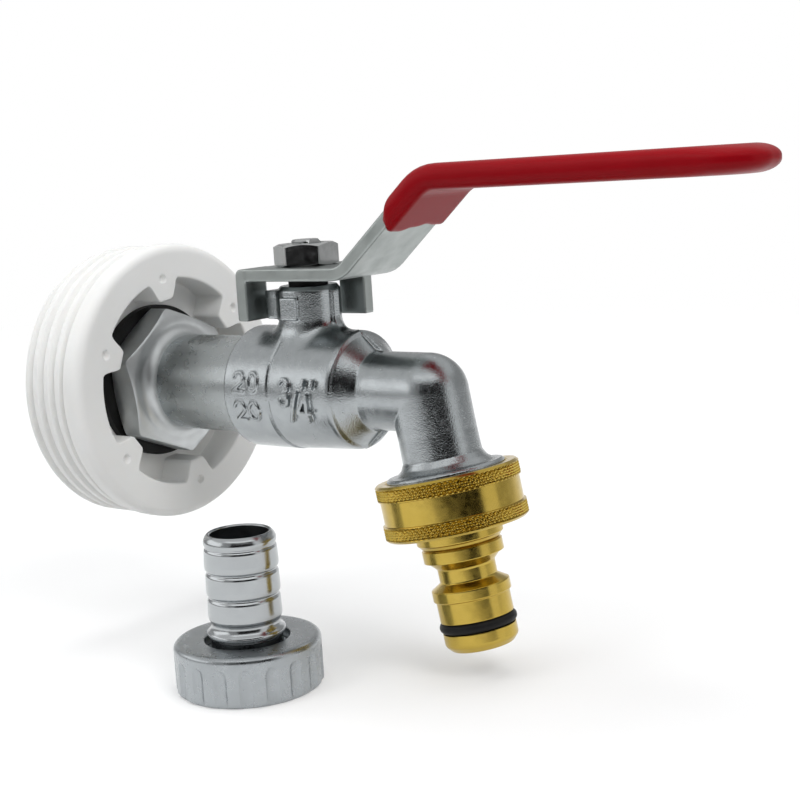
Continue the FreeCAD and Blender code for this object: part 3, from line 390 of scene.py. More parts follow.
NUMBERS = []
for row in (0.95, -5.75):
    NUMBERS += figure("2", 35.6, row, 2.9, 4.2) + figure("0", 39.9, row, 2.8, 4.2)
PIPE_SIZE = figure("3", 49.2, -1.9, 2.6, 5.9) + figure("/", 52.0, -5.4, 2.3, 6.6)
PIPE_SIZE += figure("4", 54.3, -5.3, 3.6, 6.0) + [[(56.0, 2.4), (56.2, 3.9)], [(58.5, 2.4), (58.7, 3.9)]]

CHAMBER = [(32, -9), (32, 13.6), (32.6, 14.2), (45.2, 14.2), (45.45, 13.85), (45.75, 13.85), (46.0, 14.0),
           (61.7, 13.35), (62.5, 13.1), (63, 12.3), (66.6, 9.0), (68.2, SPOUT_RADIUS),
           (ELBOW_X, SPOUT_RADIUS), (ELBOW_X, -9)]
OUTLET = [(0, -9), (0, SPOUT_RADIUS), (9, 8.7), (14.0, 8.8), (15.5, 9.6), (16.4, 10.8), (16.6, 11.4),
          (16.6, 12.6), (17.1, 13.1), (25.5, 13.1), (26.3, 12.4), (26.3, -9)]
NECK = [(-9, 2), (7.2, 2), (7.2, 22.7), (6.4, 23.7), (-9, 23.7)]
PARTING_LINE = [(61.5, 9), (61.5, 13.6), (63.2, 12.9), (68.2, 9.2), (68.2, 6)]
INLET_BORE = [(20, -5), (20, 12.1), (58.85, 12.1), (58.85, -5)]
WATER_WAY = [(40, -5), (40, WAY_RADIUS), (ELBOW_X, WAY_RADIUS), (ELBOW_X, -5)]
OUTLET_WAY = [(0, -5), (0, WAY_RADIUS), (40, WAY_RADIUS), (40, -5)]
STEM_HOLE = [(-5, 0), (5.7, 0), (5.7, 15.2), (3.65, 15.2), (3.65, 40), (-5, 40)]
# low corner and high corner of blocks on the neck, from the stem's axis; edge rounding, size of the blend
NECK_BLOCKS = [((-8.4, -5.4, 16.3), (-3.5, -1.0, 21.4), 0.3, 0.5),
               ((-8.8, -5.2, 21.3), (-3.6, 1.2, 22.8), 0.3, 0.5),
               ((-2.1, -8.0, 16.3), (2.3, -5.0, 21.3), 0.25, 0.3)]


def valve_body_form(x, y, z):
    around = np.sqrt(y * y + z * z)
    chamber = section(x, around, CHAMBER)
    side = (x - ELBOW_X) * math.cos(TILT) + z * math.sin(TILT)
    down = (x - ELBOW_X) * math.sin(TILT) - z * math.cos(TILT)
    out = np.sqrt(side * side + y * y)
    from_elbow = np.sqrt((x - ELBOW_X) ** 2 + y * y + z * z)
    form = np.minimum(np.minimum(chamber, from_elbow - SPOUT_RADIUS), section(down, out, OUTLET))
    sx = x - STEM_X
    stem = np.sqrt(sx * sx + y * y)
    neck = section(stem, z, NECK)
    neck = blend(neck, block_form(sx, y, z, (5, -1.1, 4), (8.0, 1.1, 22.6), 0.35), 0.7)
    form = blend(form, neck, 3.2)
    # the stop lug: a stub with a round end, and the blocks
    stub_plan = np.sqrt(np.maximum(-sx - 10.4, 0) ** 2 + y * y) - 2.0
    stub = plate_form(np.maximum(stub_plan, sx + 5), z - 19.0, 2.3, 0.4)
    form = blend(form, stub, 0.5)
    for low, high, rounding, size in NECK_BLOCKS:
        form = blend(form, block_form(sx, y, z, low, high, rounding), size)
    ridge = np.maximum(np.abs(y) - 0.16, section(x, around, PARTING_LINE))
    form = blend(form, ridge, 0.25)
    # the raised figures stand on the near side only
    arc_height = np.arctan2(z, -y) * FIGURE_ARC
    raised = np.minimum(strokes_form(x, arc_height, NUMBERS) - 0.33,
                        strokes_form(x, arc_height, PIPE_SIZE) - 0.42)
    raised = np.maximum(np.maximum(raised, around - FIGURE_TOP), FIGURE_ROOT - around)
    form = blend(form, np.where(y < 0, raised, 9.0), 0.2)
    hollow = np.minimum(section(x, around, INLET_BORE), section(x, around, WATER_WAY))
    hollow = np.minimum(hollow, np.minimum(from_elbow - WAY_RADIUS, section(down, out, OUTLET_WAY)))
    return cut(form, np.minimum(hollow, section(stem, z, STEM_HOLE)), 0.1)


# ---------------------------------------------------------------- the lever and its sleeve
BEND = math.radians(41)
HALF_BEND = math.tan(BEND / 2)


def strip_outline(start, end, grow, inner, outer):
    """Side view of the bent lever strip, its bends rounded."""
    top, low = PLATE_TOP + grow, PLATE_LOW - grow
    top_bend = BEND_START - grow * HALF_BEND
    low_bend = BEND_START + (PLATE_THICK + grow) * HALF_BEND
    run = LEVER_RISE / math.tan(BEND)
    return softened([
        (start, low), (low_bend, low, outer), (low_bend + run, low + LEVER_RISE, inner),
        (end, low + LEVER_RISE), (end, top + LEVER_RISE),
        (top_bend + run, top + LEVER_RISE, outer), (top_bend, top, inner), (start, top)], 5)


def tab_outline(root, outer, inner, root_round):
    """A bent tab, seen from its end: under the plate at the root, then down to its foot."""
    top, under, foot = 28.06, 25.24, 16.2
    return softened([(root, top, root_round), (outer, top, 3.0), (outer, foot, 0.1), (inner, foot, 0.1),
                     (inner, under, 0.5), (root, under)], 6)


STEEL_SIDE = strip_outline(-10.4, LEVER_REACH - STEEL_SHORT, 0, 1.9, 3.4)
SLEEVE_SIDE = strip_outline(20, LEVER_REACH + 12, SLEEVE_THICK, 2.2, 4.6)
REAR_TAB = tab_outline(-9.4, -13.3, -10.4, 0.1)
SIDE_TAB = tab_outline(7.0, 11.0, 8.1, 0)


def plan_half(x, grow):
    """Half width of the lever in plan, tapering to the tip."""
    taper = np.clip((x - TAPER_START) / (LEVER_REACH - TAPER_START), 0, 1)
    return LEVER_HALF + grow + (TIP_HALF - LEVER_HALF) * taper


def steel_tip(x, y):
    """The steel's round end in plan."""
    end = LEVER_REACH - STEEL_SHORT
    dx, dy = x - end + TIP_ROUND, np.abs(y) - TIP_HALF + TIP_ROUND
    rounded = np.sqrt(np.maximum(dx, 0) ** 2 + np.maximum(dy, 0) ** 2) - TIP_ROUND
    return np.where((dx > 0) & (dy > 0), rounded, x - end)


def sleeve_plan(x, y):
    """Distance to the sleeve's outline in plan: tapered sides and a round end."""
    corner = TIP_ROUND + SLEEVE_THICK
    dx = x - LEVER_REACH - SLEEVE_THICK + corner
    dy = np.abs(y) - plan_half(x, SLEEVE_THICK) + corner
    return corner_form(dx, dy) - corner


def steel_form(x, y, z):
    sx = x - STEM_X
    strip = plate_form(section(sx, z, STEEL_SIDE), y * LEVER_HALF / plan_half(sx, 0), LEVER_HALF, 0.35)
    strip = np.maximum(strip, steel_tip(sx, y))
    rear = plate_form(section(sx, z, REAR_TAB), y + TAB_MIDDLE, TAB_HALF, 0.3)
    side = plate_form(section(y, z, SIDE_TAB), sx - TAB_MIDDLE, TAB_HALF, 0.3)
    form = blend(blend(strip, rear, 0.3), side, 0.3)
    hole = np.maximum(np.sqrt(sx * sx + y * y) - 3.65, np.abs(sx) - 2.75)
    return cut(form, np.maximum(hole, np.maximum(24 - z, z - 30)), 0.1)


def sleeve_form(x, y, z):
    sx = x - STEM_X
    # the dipped edge is a little wavy, and the skin grows thin towards it
    edge = sx - SLEEVE_START - 0.5 * np.sin(y * 0.3 + 0.6) - 0.12 * np.sin(y * 1.1 + z)
    thin = 1.05 * (1 - smooth_step(edge / 2.6)) ** 2
    rounding = 2.5
    taper = rounding + 2.5 * smooth_step((sx - LEVER_REACH + 14) / 12)
    flat = section(sx, z, SLEEVE_SIDE) + thin + rounding
    side = (sleeve_plan(sx, y) + thin + taper) * rounding / taper
    strip = corner_form(flat, side) - rounding
    form = -blend(-strip, edge, 0.5)
    return cut(form, steel_form(x, y, z) - 0.01, 0.05)


# ---------------------------------------------------------------- the bung and its inlet
def make_bung():
    theta = circle(540)
    turn = np.radians((np.degrees(theta) - LUG_TURN + 30) % 60 - 30)
    # the side of a lug runs from its tip's corner out to (26.9, 5.2)
    slope = (5.2 - LUG_HALF) / (26.9 - LUG_TIP)
    side = (LUG_HALF - slope * LUG_TIP) / (np.sin(np.abs(turn)) - slope * np.cos(turn) + 1e-9)
    on_tip = np.abs(turn) < math.atan2(LUG_HALF, LUG_TIP)
    inner = np.where(on_tip, LUG_TIP / np.cos(turn), np.clip(side, LUG_TIP, RECESS_RADIUS))
    inner = np.where(np.abs(turn) > math.atan2(5.6, RECESS_RADIUS), RECESS_RADIUS, inner)
    inner = smoothed(inner, (1, 2, 3, 4, 3, 2, 1))

    rows = [(RECESS_FLOOR, 13.3), (RECESS_FLOOR, 18.0)]
    rows += [(RECESS_FLOOR, 18 + (inner - 18) * share) for share in (0.5, 0.97)]
    rows += [(t, inner) for t in (-4.15, -1.5, 1.5, 4.2)]
    mouth = 0.5
    for a in quarter(4)[1:]:
        rows.append((RIM_FRONT - mouth + mouth * math.sin(a), inner + mouth - mouth * math.cos(a)))
    face_edge = RIM_RADIUS - RIM_ROUND
    for share in np.linspace(0.03, 1, 42):
        r = (inner + mouth) + (face_edge - 0.1 - inner - mouth) * share
        away = np.sqrt((r * np.cos(turn) - DIMPLE_AT) ** 2 + (r * np.sin(turn)) ** 2)
        rows.append((RIM_FRONT - DIMPLE_DEPTH * smooth_step((DIMPLE_RADIUS - away) / 0.55), r))
    for a in quarter(8)[:-1]:
        rows.append((RIM_FRONT - RIM_ROUND + RIM_ROUND * math.cos(a), face_edge + RIM_ROUND * math.sin(a)))
    rows += [(RIM_FRONT - RIM_ROUND, RIM_RADIUS), (0.35, RIM_RADIUS), (0.1, RIM_RADIUS - 0.1)]
    for t in np.arange(0.0, -SKIRT_LENGTH, -0.2):
        phase = (t + 0.65) / BUNG_PITCH - theta / FULL_TURN
        form = trapezoid(phase, 1.3 / BUNG_PITCH, 0.95 / BUNG_PITCH)
        fade = smooth_step((t + SKIRT_LENGTH) / 1.6) * smooth_step((-t) / 0.4)
        rows.append((t, CREST_RADIUS - THREAD_DEPTH + THREAD_DEPTH * form * fade))
    # the skirt's end, its inside and the boss
    rows += [(-14.9, 31.3), (-15.0, 31.0), (-15.0, 28.8), (-14.8, 28.6), (-7.6, 28.2), (-7.3, 27.8),
             (-7.3, 17.3), (-7.6, 17.0), (-14.3, 17.0), (-14.5, 16.8), (-14.5, 13.6), (-14.2, 13.3)]
    return polar("bung", rows, theta, "tap", TAP_ORIGIN, "tap", "white_plastic",
                 stands_for=["drum_adapter"], angle=42)


def make_inlet():
    theta = circle(360)
    flats = smoothed(hexagon_radius(theta, LUG_TURN, 16.0, 18.3), (1, 2, 2, 2, 1))
    rear_chamfer = np.maximum((flats - 15.7) * HEX_SLOPE, 0)
    front_chamfer = np.maximum((flats - 15.6) * HEX_SLOPE, 0)
    rows = [(-13.8, 8.0), (-13.8, 12.2), (-12.8, 13.2),
            (HEX_REAR - 0.01, 13.2), (HEX_REAR, 13.3), (HEX_REAR, 15.4),
            (HEX_REAR + rear_chamfer * 0.5, 15.7 + (flats - 15.7) * 0.5),
            (HEX_REAR + 0.05 + rear_chamfer, flats)]
    rows += [(HEX_REAR + (HEX_FRONT - HEX_REAR) * share, flats) for share in (0.33, 0.66)]
    rows += [(HEX_FRONT - 0.12 - front_chamfer, flats),
             (HEX_FRONT - 0.02 - front_chamfer * 0.94, flats - 0.12),
             (HEX_FRONT - front_chamfer * 0.5, 15.55 + (flats - 15.6) * 0.5),
             (HEX_FRONT, 15.5), (HEX_FRONT, 14.3)]
    for a in quarter(12):
        rows.append((HEX_FRONT + TUBE_FILLET - TUBE_FILLET * math.cos(a),
                     TUBE_RADIUS + TUBE_FILLET - TUBE_FILLET * math.sin(a)))
    rows += [(HEX_FRONT + 2.9, TUBE_RADIUS), (20, TUBE_RADIUS), (32.6, TUBE_RADIUS), (32.8, 11.7),
             (32.8, 12.0), (33.5, 12.0), (33.5, 10.5), (35.4, 10.5), (35.4, 12.0), (37.1, 12.0), (37.1, 8.0)]
    return polar("inlet", rows, theta, "tap", TAP_ORIGIN, "tap", "nickel_plate",
                 stands_for=["inlet_nipple"], angle=30)


# ---------------------------------------------------------------- nut and stem
def make_nut():
    theta = circle(240)
    flats = hexagon_radius(theta, 32, 6.5, 7.42)
    over = np.maximum(flats - 6.35, 0) * 0.5
    rows = [(PLATE_TOP, 4.3), (PLATE_TOP, 6.2), (PLATE_TOP + over * 0.9, flats),
            (NUT_TOP - 0.05 - over, flats), (NUT_TOP - 0.02 - over * 0.93, flats - 0.08),
            (NUT_TOP, 6.25), (NUT_TOP, 4.5), (NUT_TOP - 0.6, 3.75), (NUT_TOP - 1.2, 3.7),
            (PLATE_TOP + 0.6, 3.7)]
    return polar("nut", rows, theta, "stem", (STEM_X, 0, 0), "handle", "plain_steel",
                 stands_for=["lever_nut"], angle=24)


def make_stem():
    theta = circle(160)
    flat = STEM_FLAT / np.maximum(np.abs(np.cos(theta)), 1e-3)
    rows = [(10.0, 0), (10.0, 5.2), (10.2, 5.4), (14.2, 5.4), (14.4, 5.2), (14.4, STEM_RADIUS),
            (17.35, STEM_RADIUS), (17.35, 2.55), (18.65, 2.55), (18.65, STEM_RADIUS), (24.9, STEM_RADIUS),
            (25.0, np.minimum(STEM_RADIUS, flat))]
    for z in np.arange(25.4, STEM_TOP - 0.7, 0.12):
        groove = 0.5 * (1 - trapezoid(z - theta / FULL_TURN, 0.2, 0.35))
        rows.append((z, np.minimum(STEM_RADIUS - groove * smooth_step((z - 27.8) / 0.4), flat)))
    rows += [(STEM_TOP - 0.45, np.minimum(3.2, flat)), (STEM_TOP - 0.05, np.minimum(2.9, flat)),
             (STEM_TOP, np.minimum(2.6, flat)), (STEM_TOP, 0)]
    return polar("spindle", rows, theta, "stem", (STEM_X, 0, 0), "handle", "plain_steel",
                 stands_for=["stem"], angle=30)


# ---------------------------------------------------------------- brass connector and its ring
def knurl(theta, start, end):
    """Rows of crossed teeth round a band, fading out at its ends."""
    rows = []
    for t in np.arange(start, end + 1e-6, 0.11):
        a = theta * KNURL_TEETH / FULL_TURN
        b = (t - start) / KNURL_LEAD
        one = 1 - np.abs(2 * ((a + b) % 1) - 1)
        two = 1 - np.abs(2 * ((a - b) % 1) - 1)
        groove = (1 - np.minimum(one, two) * 1.25).clip(0, 1)
        fade = smooth_step((t - start) / 0.25) * smooth_step((end - t) / 0.25)
        rows.append((t, BAND_RADIUS - KNURL_DEPTH * groove * fade))
    return rows


def make_connector():
    theta = circle(720)
    rows = [*softened([(17.4, 13.6), (17.4, 15.45, 0.1), (17.9, 15.95, 0.1), (18.0, 15.95)], supported=True)]
    rows += knurl(theta, 18.0, 20.7)
    rows += [*softened([(20.85, 15.9), (20.95, 15.5), (21.0, 15.45), (26.2, 15.45), (26.25, 15.5),
                        (26.35, 15.9)], supported=True)]
    rows += knurl(theta, 26.5, 29.2)
    rows += [*softened([
        (29.3, 15.95), (29.8, 15.4), (29.8, 9.6), (29.9, 9.6), (32.1, 9.6, 0.1), (32.4, 9.2, 0.15),
        (33.5, 8.4, 0.1), (33.6, 8.9, 0.1), (36.2, 8.9, 0.15), (36.2, 8.2, 0.1), (38.0, 6.4, 0.4),
        (41.1, 6.4, 0.3), (42.5, 8.65, 0.2), (44.8, 8.65, 0.15), (45.0, 8.15, 0.1), (49.6, 8.15, 0.1),
        (49.6, 6.25), (52.1, 6.25), (52.1, 8.15, 0.1), (54.8, 8.15, 0.5), (56.2, 6.85, 0.3), (56.2, 5.3),
        (56.1, NOSE_BORE), (55.8, NOSE_BORE), (28.4, NOSE_BORE), (28.3, 5.3), (28.3, 13.2)], supported=True)]
    rows += inside_thread(theta, 28.2, 18.6, 0.3, 13.3, 0.75, 0.6)
    rows.append((17.9, 13.35))
    return polar("connector", rows, theta, "outlet", (ELBOW_X, 0, 0), "connector", "yellow_brass",
                 stands_for=["quick_connector"], angle=28)


def make_nose_ring():
    turns = circle(40)
    middle = 8.65 - 0.05 - NOSE_RING_THICK
    rows = [(NOSE_RING_ALONG + NOSE_RING_THICK * sine, middle + NOSE_RING_THICK * cosine)
            for sine, cosine in zip(np.sin(turns), np.cos(turns))]
    return polar("nose_ring", rows, circle(180), "outlet", (ELBOW_X, 0, 0), "connector", "black_rubber",
                 stands_for=["connector_o_ring"])


# ---------------------------------------------------------------- hose tail and union nut
def make_tail():
    outline = [(6.6, 6.4), (6.6, 11.9, 0.1), (8.7, 12.0, 0.1), (8.7, 7.9, 0.3), (11.6, 7.9, 0.3),
               (12.0, 8.5, 0.3), (12.9, 8.7, 0.4), (13.6, 7.9, 0.4), (14.4, 7.5, 0.4)]
    for barb in (16.0, 21.6, 27.2):
        outline += [(barb - 0.75, 7.55, 0.3), (barb - 0.2, 8.05, 0.3), (barb + 0.7, 8.12, 0.5),
                    (barb + 4.1, 7.98, 0.5), (barb + 4.6, 7.6, 0.3)]
    outline += [(32.4, 7.95, 0.4), (33.2, 8.0, 0.5), (34.2, 7.5, 0.5), (34.7, 6.95, 0.3), (34.7, 6.7, 0.1),
                (34.4, 6.4, 0.1)]
    return polar("tail", softened(outline, supported=True), circle(192), "stem", TAIL, "tail", "chrome_plate",
                 stands_for=["hose_tail"], angle=45)


def make_union_nut():
    theta = circle(540)
    turn = (theta * UNION_FLUTES / FULL_TURN % 1 - 0.5) * 2 * math.pi / UNION_FLUTES

    def fluted(z, shell):
        """The shell's radius with round flutes in it, which run out towards the top."""
        climb = max(z - 7.0, 0.0)
        centre = UNION_RADIUS + FLUTE_RADIUS - FLUTE_DEPTH + FLUTE_DEPTH * min(climb / 1.7, 1.5) ** 2
        reach = FLUTE_RADIUS ** 2 - (centre * np.sin(turn)) ** 2
        flute = np.where(reach > 0, centre * np.cos(turn) - np.sqrt(np.maximum(reach, 0)), 99)
        return np.minimum(shell, flute)

    rows = [(0.0, 12.9)]
    rows += [(z, fluted(0, shell)) for z, shell in ((0.0, 15.3), (0.1, 15.5), (0.6, 16.1), (0.9, 16.2))]
    rows += [(z, fluted(z, UNION_RADIUS)) for z in (2, 4, 6, 7, 7.4, 7.8, 8.1, 8.4, 8.7, 9.0, 9.3)]
    rows += [(9.8 + 1.3 * math.sin(a), 14.9 + 1.3 * math.cos(a)) for a in quarter(6)]
    rows += [(11.1, 14.6), (11.1, 9.8), (10.95, 9.5), (10.7, 9.4), (8.9, 9.4), (8.8, 9.5), (8.8, 12.9),
             (4.7, 12.9)]
    rows += inside_thread(theta, 4.6, 0.9, 0.15, 12.25, 0.6, 0.4)
    rows.append((0.6, 12.4))
    return polar("ring_nut", rows, theta, "stem", TAIL, "tail_nut", "nickel_plate",
                 stands_for=["union_nut"], angle=32)


# ---------------------------------------------------------------- materials
def material(name, base, tint, bump, metallic=0.0, roughness=0.4, specular=None, rough_noise=None,
             subsurface=0.0):
    """A procedural material.

    tint: (colour, scale, share); bump: rows of (scale, strength, distance in mm) with a stretch where the
    grain has a direction; rough_noise: (scale, low, high). The plain base colour and roughness on the sockets
    are for viewers that don't show textures.
    """
    mat, tree = bare_material(name)
    out = tree.nodes.new("ShaderNodeOutputMaterial")
    shader = add_node(tree, "ShaderNodeBsdfPrincipled", Metallic=metallic, Roughness=roughness)
    tree.links.new(shader.outputs[0], out.inputs[0])
    shader.inputs["Base Color"].default_value = (*base, 1)
    if specular is not None:
        shader.inputs["Specular IOR Level"].default_value = specular
    if subsurface:
        shader.inputs["Subsurface Weight"].default_value = subsurface
        shader.inputs["Subsurface Radius"].default_value = (1, 0.9, 0.8)
        shader.inputs["Subsurface Scale"].default_value = 0.001
    place = tree.nodes.new("ShaderNodeTexCoord")

    def noise(scale, detail=4.0, stretch=None):
        node = add_node(tree, "ShaderNodeTexNoise", Scale=scale, Detail=detail)
        source = place.outputs["Object"]
        if stretch is not None:
            mapping = add_node(tree, "ShaderNodeMapping", Scale=stretch)
            tree.links.new(source, mapping.inputs["Vector"])
            source = mapping.outputs[0]
        tree.links.new(source, node.inputs["Vector"])
        return node.outputs["Fac"]

    def ranged(value, low, high, new_low, new_high):
        node = tree.nodes.new("ShaderNodeMapRange")
        for socket, number in zip(node.inputs[1:5], (low, high, new_low, new_high)):
            socket.default_value = number
        tree.links.new(value, node.inputs[0])
        return node.outputs[0]

    colour, scale, share = tint
    mix = tree.nodes.new("ShaderNodeMix")
    mix.data_type = "RGBA"
    mix.inputs[6].default_value = (*base, 1)
    mix.inputs[7].default_value = (*colour, 1)
    tree.links.new(ranged(noise(scale), 0.35, 0.7, 0.0, share), mix.inputs[0])
    tree.links.new(mix.outputs[2], shader.inputs["Base Color"])
    if rough_noise:
        scale, low, high = rough_noise
        tree.links.new(ranged(noise(scale), 0.3, 0.7, low, high), shader.inputs["Roughness"])
    normal = None
    for scale, strength, distance, *stretch in bump:
        node = add_node(tree, "ShaderNodeBump", Strength=strength, Distance=distance * MM)
        tree.links.new(noise(scale, 3.0, *stretch), node.inputs["Height"])
        if normal is not None:
            tree.links.new(normal, node.inputs["Normal"])
        normal = node.outputs[0]
    tree.links.new(normal, shader.inputs["Normal"])
    return mat


def bare_material(name):
    mat = bpy.data.materials.new(name)
    mat.use_nodes = True
    mat.node_tree.nodes.clear()
    return mat, mat.node_tree


def add_node(tree, kind, **values):
    node = tree.nodes.new(kind)
    for socket, value in values.items():
        node.inputs[socket].default_value = value
    return node


def paint(objects, mat):
    for piece in objects:
        piece.data.materials.clear()
        piece.data.materials.append(mat)


ALONG_TAP = (1.0, 0.02, 0.02)

plastic = material("moulded_plastic", (0.90, 0.90, 0.885), ((0.86, 0.855, 0.835), 60, 0.5),
                   [(900, 0.15, 0.05)], roughness=0.45, subsurface=0.15)
rubber = material("rubber", (0.006, 0.006, 0.006), ((0.014, 0.014, 0.014), 300, 0.6),
                  [(1500, 0.2, 0.03)], roughness=0.5, specular=0.2)
vinyl = material("red_vinyl", (0.31, 0.0012, 0.006), ((0.24, 0.001, 0.004), 90, 0.4),
                 [(120, 0.12, 0.12)], roughness=0.3, specular=0.1)
ptfe = material("seat_plastic", (0.88, 0.88, 0.86), ((0.82, 0.82, 0.8), 200, 0.4),
                [(900, 0.1, 0.02)], roughness=0.5)


def metal(name, base, tint, bump, roughness, rough_noise):
    return material(name, base, tint, bump, metallic=1.0, roughness=roughness, rough_noise=rough_noise)


cast = metal("satin_nickel", (0.40, 0.425, 0.435), ((0.31, 0.33, 0.34), 400, 0.4),
             [(3200, 1.0, 0.052), (260, 0.12, 0.06)], 0.22, (700, 0.17, 0.28))
turned_nickel = metal("turned_nickel", (0.40, 0.425, 0.43), ((0.35, 0.37, 0.375), 200, 0.3),
                      [(3200, 0.6, 0.03), (1500, 0.25, 0.02, ALONG_TAP)], 0.28, (500, 0.24, 0.34))
# the hexagon is the tube's nickel painted brighter, a painted highlight standing in for its bright
# reflection; it is also rougher
hexagon = metal("hexagon_nickel_painted_highlight", (0.60, 0.62, 0.625), ((0.48, 0.50, 0.505), 250, 0.5),
                [(2500, 0.4, 0.02)], 0.42, (400, 0.37, 0.48))
chrome = metal("bright_chrome", (0.44, 0.46, 0.47), ((0.40, 0.42, 0.43), 150, 0.3),
               [(500, 0.05, 0.02)], 0.2, (300, 0.16, 0.24))
union = metal("barrel_nickel", (0.40, 0.425, 0.44), ((0.34, 0.36, 0.375), 300, 0.4),
              [(2800, 0.5, 0.035)], 0.28, (500, 0.24, 0.34))
zinc = metal("zinc_steel", (0.37, 0.395, 0.385), ((0.28, 0.31, 0.30), 180, 0.5),
             [(1600, 0.4, 0.03)], 0.36, (350, 0.28, 0.46))
steel = metal("plain_steel", (0.48, 0.49, 0.49), ((0.40, 0.41, 0.41), 300, 0.4),
              [(1000, 0.1, 0.02)], 0.14, (600, 0.1, 0.2))
brass = metal("turned_brass", (0.53, 0.38, 0.08), ((0.48, 0.335, 0.055), 260, 0.4),
              [(1500, 0.2, 0.015)], 0.2, (600, 0.15, 0.26))

# ---------------------------------------------------------------- the pieces and their finishes
RUBBER_NODES = ["inlet_washer", "body_joint_ring", "gland_ring", "connector_washer", "tail_washer",
                "stem_o_ring"]
PTFE_NODES = ["seat_ring_rear", "seat_ring_front", "stem_thrust_washer"]

paint([make_bung()], plastic)

inlet = make_inlet()
paint([inlet], turned_nickel)
inlet.data.materials.append(hexagon)
# the hexagon and its fillet take the brighter nickel (index 1), a painted highlight; the tube keeps the
# turned nickel
for polygon in inlet.data.polygons:
    polygon.material_index = int(HEX_REAR - 0.01 <= polygon.center.x / MM <= HEX_FRONT + 2.6)

body = formed("body", valve_body_form, (30.6, -15.6, -30.2), (101.0, 15.6, 25.0), 0.3, "tap", "nickel_plate",
              ["valve_body"])
strap = formed("strap", steel_form, (33.0, -10.8, 15.2), (159.9, 12.0, 49.0), 0.34, "handle", "zinc_steel",
               ["lever"])
sleeve = formed("sleeve", sleeve_form, (75.0, -12.0, 32.0), (161.3, 12.0, 50.6), 0.3, "handle", "red_vinyl",
                ["lever_grip"])
paint([body], cast)
paint([strap], zinc)
paint([sleeve], vinyl)
paint([make_nut(), make_stem()], steel)
paint([make_connector()], brass)
paint([make_nose_ring()] + [nodes[name] for name in RUBBER_NODES], rubber)
paint([make_tail(), nodes["valve_ball"]], chrome)
paint([make_union_nut()], union)
paint([nodes[name] for name in PTFE_NODES], ptfe)
for name in ["valve_ball"] + RUBBER_NODES + PTFE_NODES:
    shade_smooth(nodes[name].data, 30)


# ---------------------------------------------------------------- floor and world
FLOOR_GLOW = 0.33


def background_rays(tree):
    """1 for the rays that show the background: seen directly, reflected or refracted."""
    path = tree.nodes.new("ShaderNodeLightPath")
    total = path.outputs["Is Camera Ray"]
    for other in ("Is Glossy Ray", "Is Transmission Ray"):
        node = tree.nodes.new("ShaderNodeMath")
        node.operation = "MAXIMUM"
        tree.links.new(total, node.inputs[0])
        tree.links.new(path.outputs[other], node.inputs[1])
        total = node.outputs[0]
    return total


def make_floor():
    """A pale floor that keeps the object's shadow and turns to plain white further out."""
    mesh = bpy.data.meshes.new("floor")
    half, z = 4, FLOOR_Z * MM
    mesh.from_pydata([(-half, -half, z), (half, -half, z), (half, half, z), (-half, half, z)], [],
                     [(0, 1, 2, 3)])
    floor = bpy.data.objects.new("floor", mesh)
    bpy.context.scene.collection.objects.link(floor)
    mat, tree = bare_material("floor")
    out = tree.nodes.new("ShaderNodeOutputMaterial")
    diffuse = add_node(tree, "ShaderNodeBsdfDiffuse", Color=(0.66, 0.66, 0.66, 1))
    seen = background_rays(tree)
    near = tree.nodes.new("ShaderNodeEmission")
    near_level = tree.nodes.new("ShaderNodeMath")
    near_level.operation = "MULTIPLY"
    near_level.inputs[1].default_value = FLOOR_GLOW
    far = tree.nodes.new("ShaderNodeEmission")
    both = tree.nodes.new("ShaderNodeAddShader")
    mix = tree.nodes.new("ShaderNodeMixShader")
    place = tree.nodes.new("ShaderNodeTexCoord")
    away = tree.nodes.new("ShaderNodeVectorMath")
    away.operation = "LENGTH"
    share = tree.nodes.new("ShaderNodeMapRange")
    share.interpolation_type = "SMOOTHSTEP"
    share.inputs["From Min"].default_value = 0.25
    share.inputs["From Max"].default_value = 0.9
    links = tree.links
    links.new(seen, near_level.inputs[0])
    links.new(near_level.outputs[0], near.inputs["Strength"])
    links.new(seen, far.inputs["Strength"])
    links.new(diffuse.outputs[0], both.inputs[0])
    links.new(near.outputs[0], both.inputs[1])
    links.new(place.outputs["Object"], away.inputs[0])
    links.new(away.outputs["Value"], share.inputs["Value"])
    links.new(share.outputs[0], mix.inputs[0])
    links.new(both.outputs[0], mix.inputs[1])
    links.new(far.outputs[0], mix.inputs[2])
    links.new(mix.outputs[0], out.inputs[0])
    mesh.materials.append(mat)


def make_world():
    """A dim fill on the object, and plain white where the background is seen or reflected."""
    world = bpy.data.worlds.new("studio")
    bpy.context.scene.world = world
    world.use_nodes = True
    tree = world.node_tree
    tree.nodes.clear()
    out = tree.nodes.new("ShaderNodeOutputWorld")
    white = add_node(tree, "ShaderNodeBackground", Color=(1, 1, 1, 1), Strength=1.0)
    fill = add_node(tree, "ShaderNodeBackground", Color=(0.97, 0.985, 1, 1), Strength=0.48)
    mix = tree.nodes.new("ShaderNodeMixShader")
    tree.links.new(background_rays(tree), mix.inputs[0])
    tree.links.new(fill.outputs[0], mix.inputs[1])
    tree.links.new(white.outputs[0], mix.inputs[2])
    tree.links.new(mix.outputs[0], out.inputs[0])


make_floor()
make_world()

# ---------------------------------------------------------------- camera, fitted to the photograph
FOCAL_PIXELS, PICTURE_WIDTH, SENSOR_WIDTH = 1481.88, 800, 36
AZIMUTH, ELEVATION, ROLL = math.radians(37.23), math.radians(8.90), math.radians(-3.58)
TARGET = Vector((0.06974, 0.00304, -0.00250))
DISTANCE = 0.33018

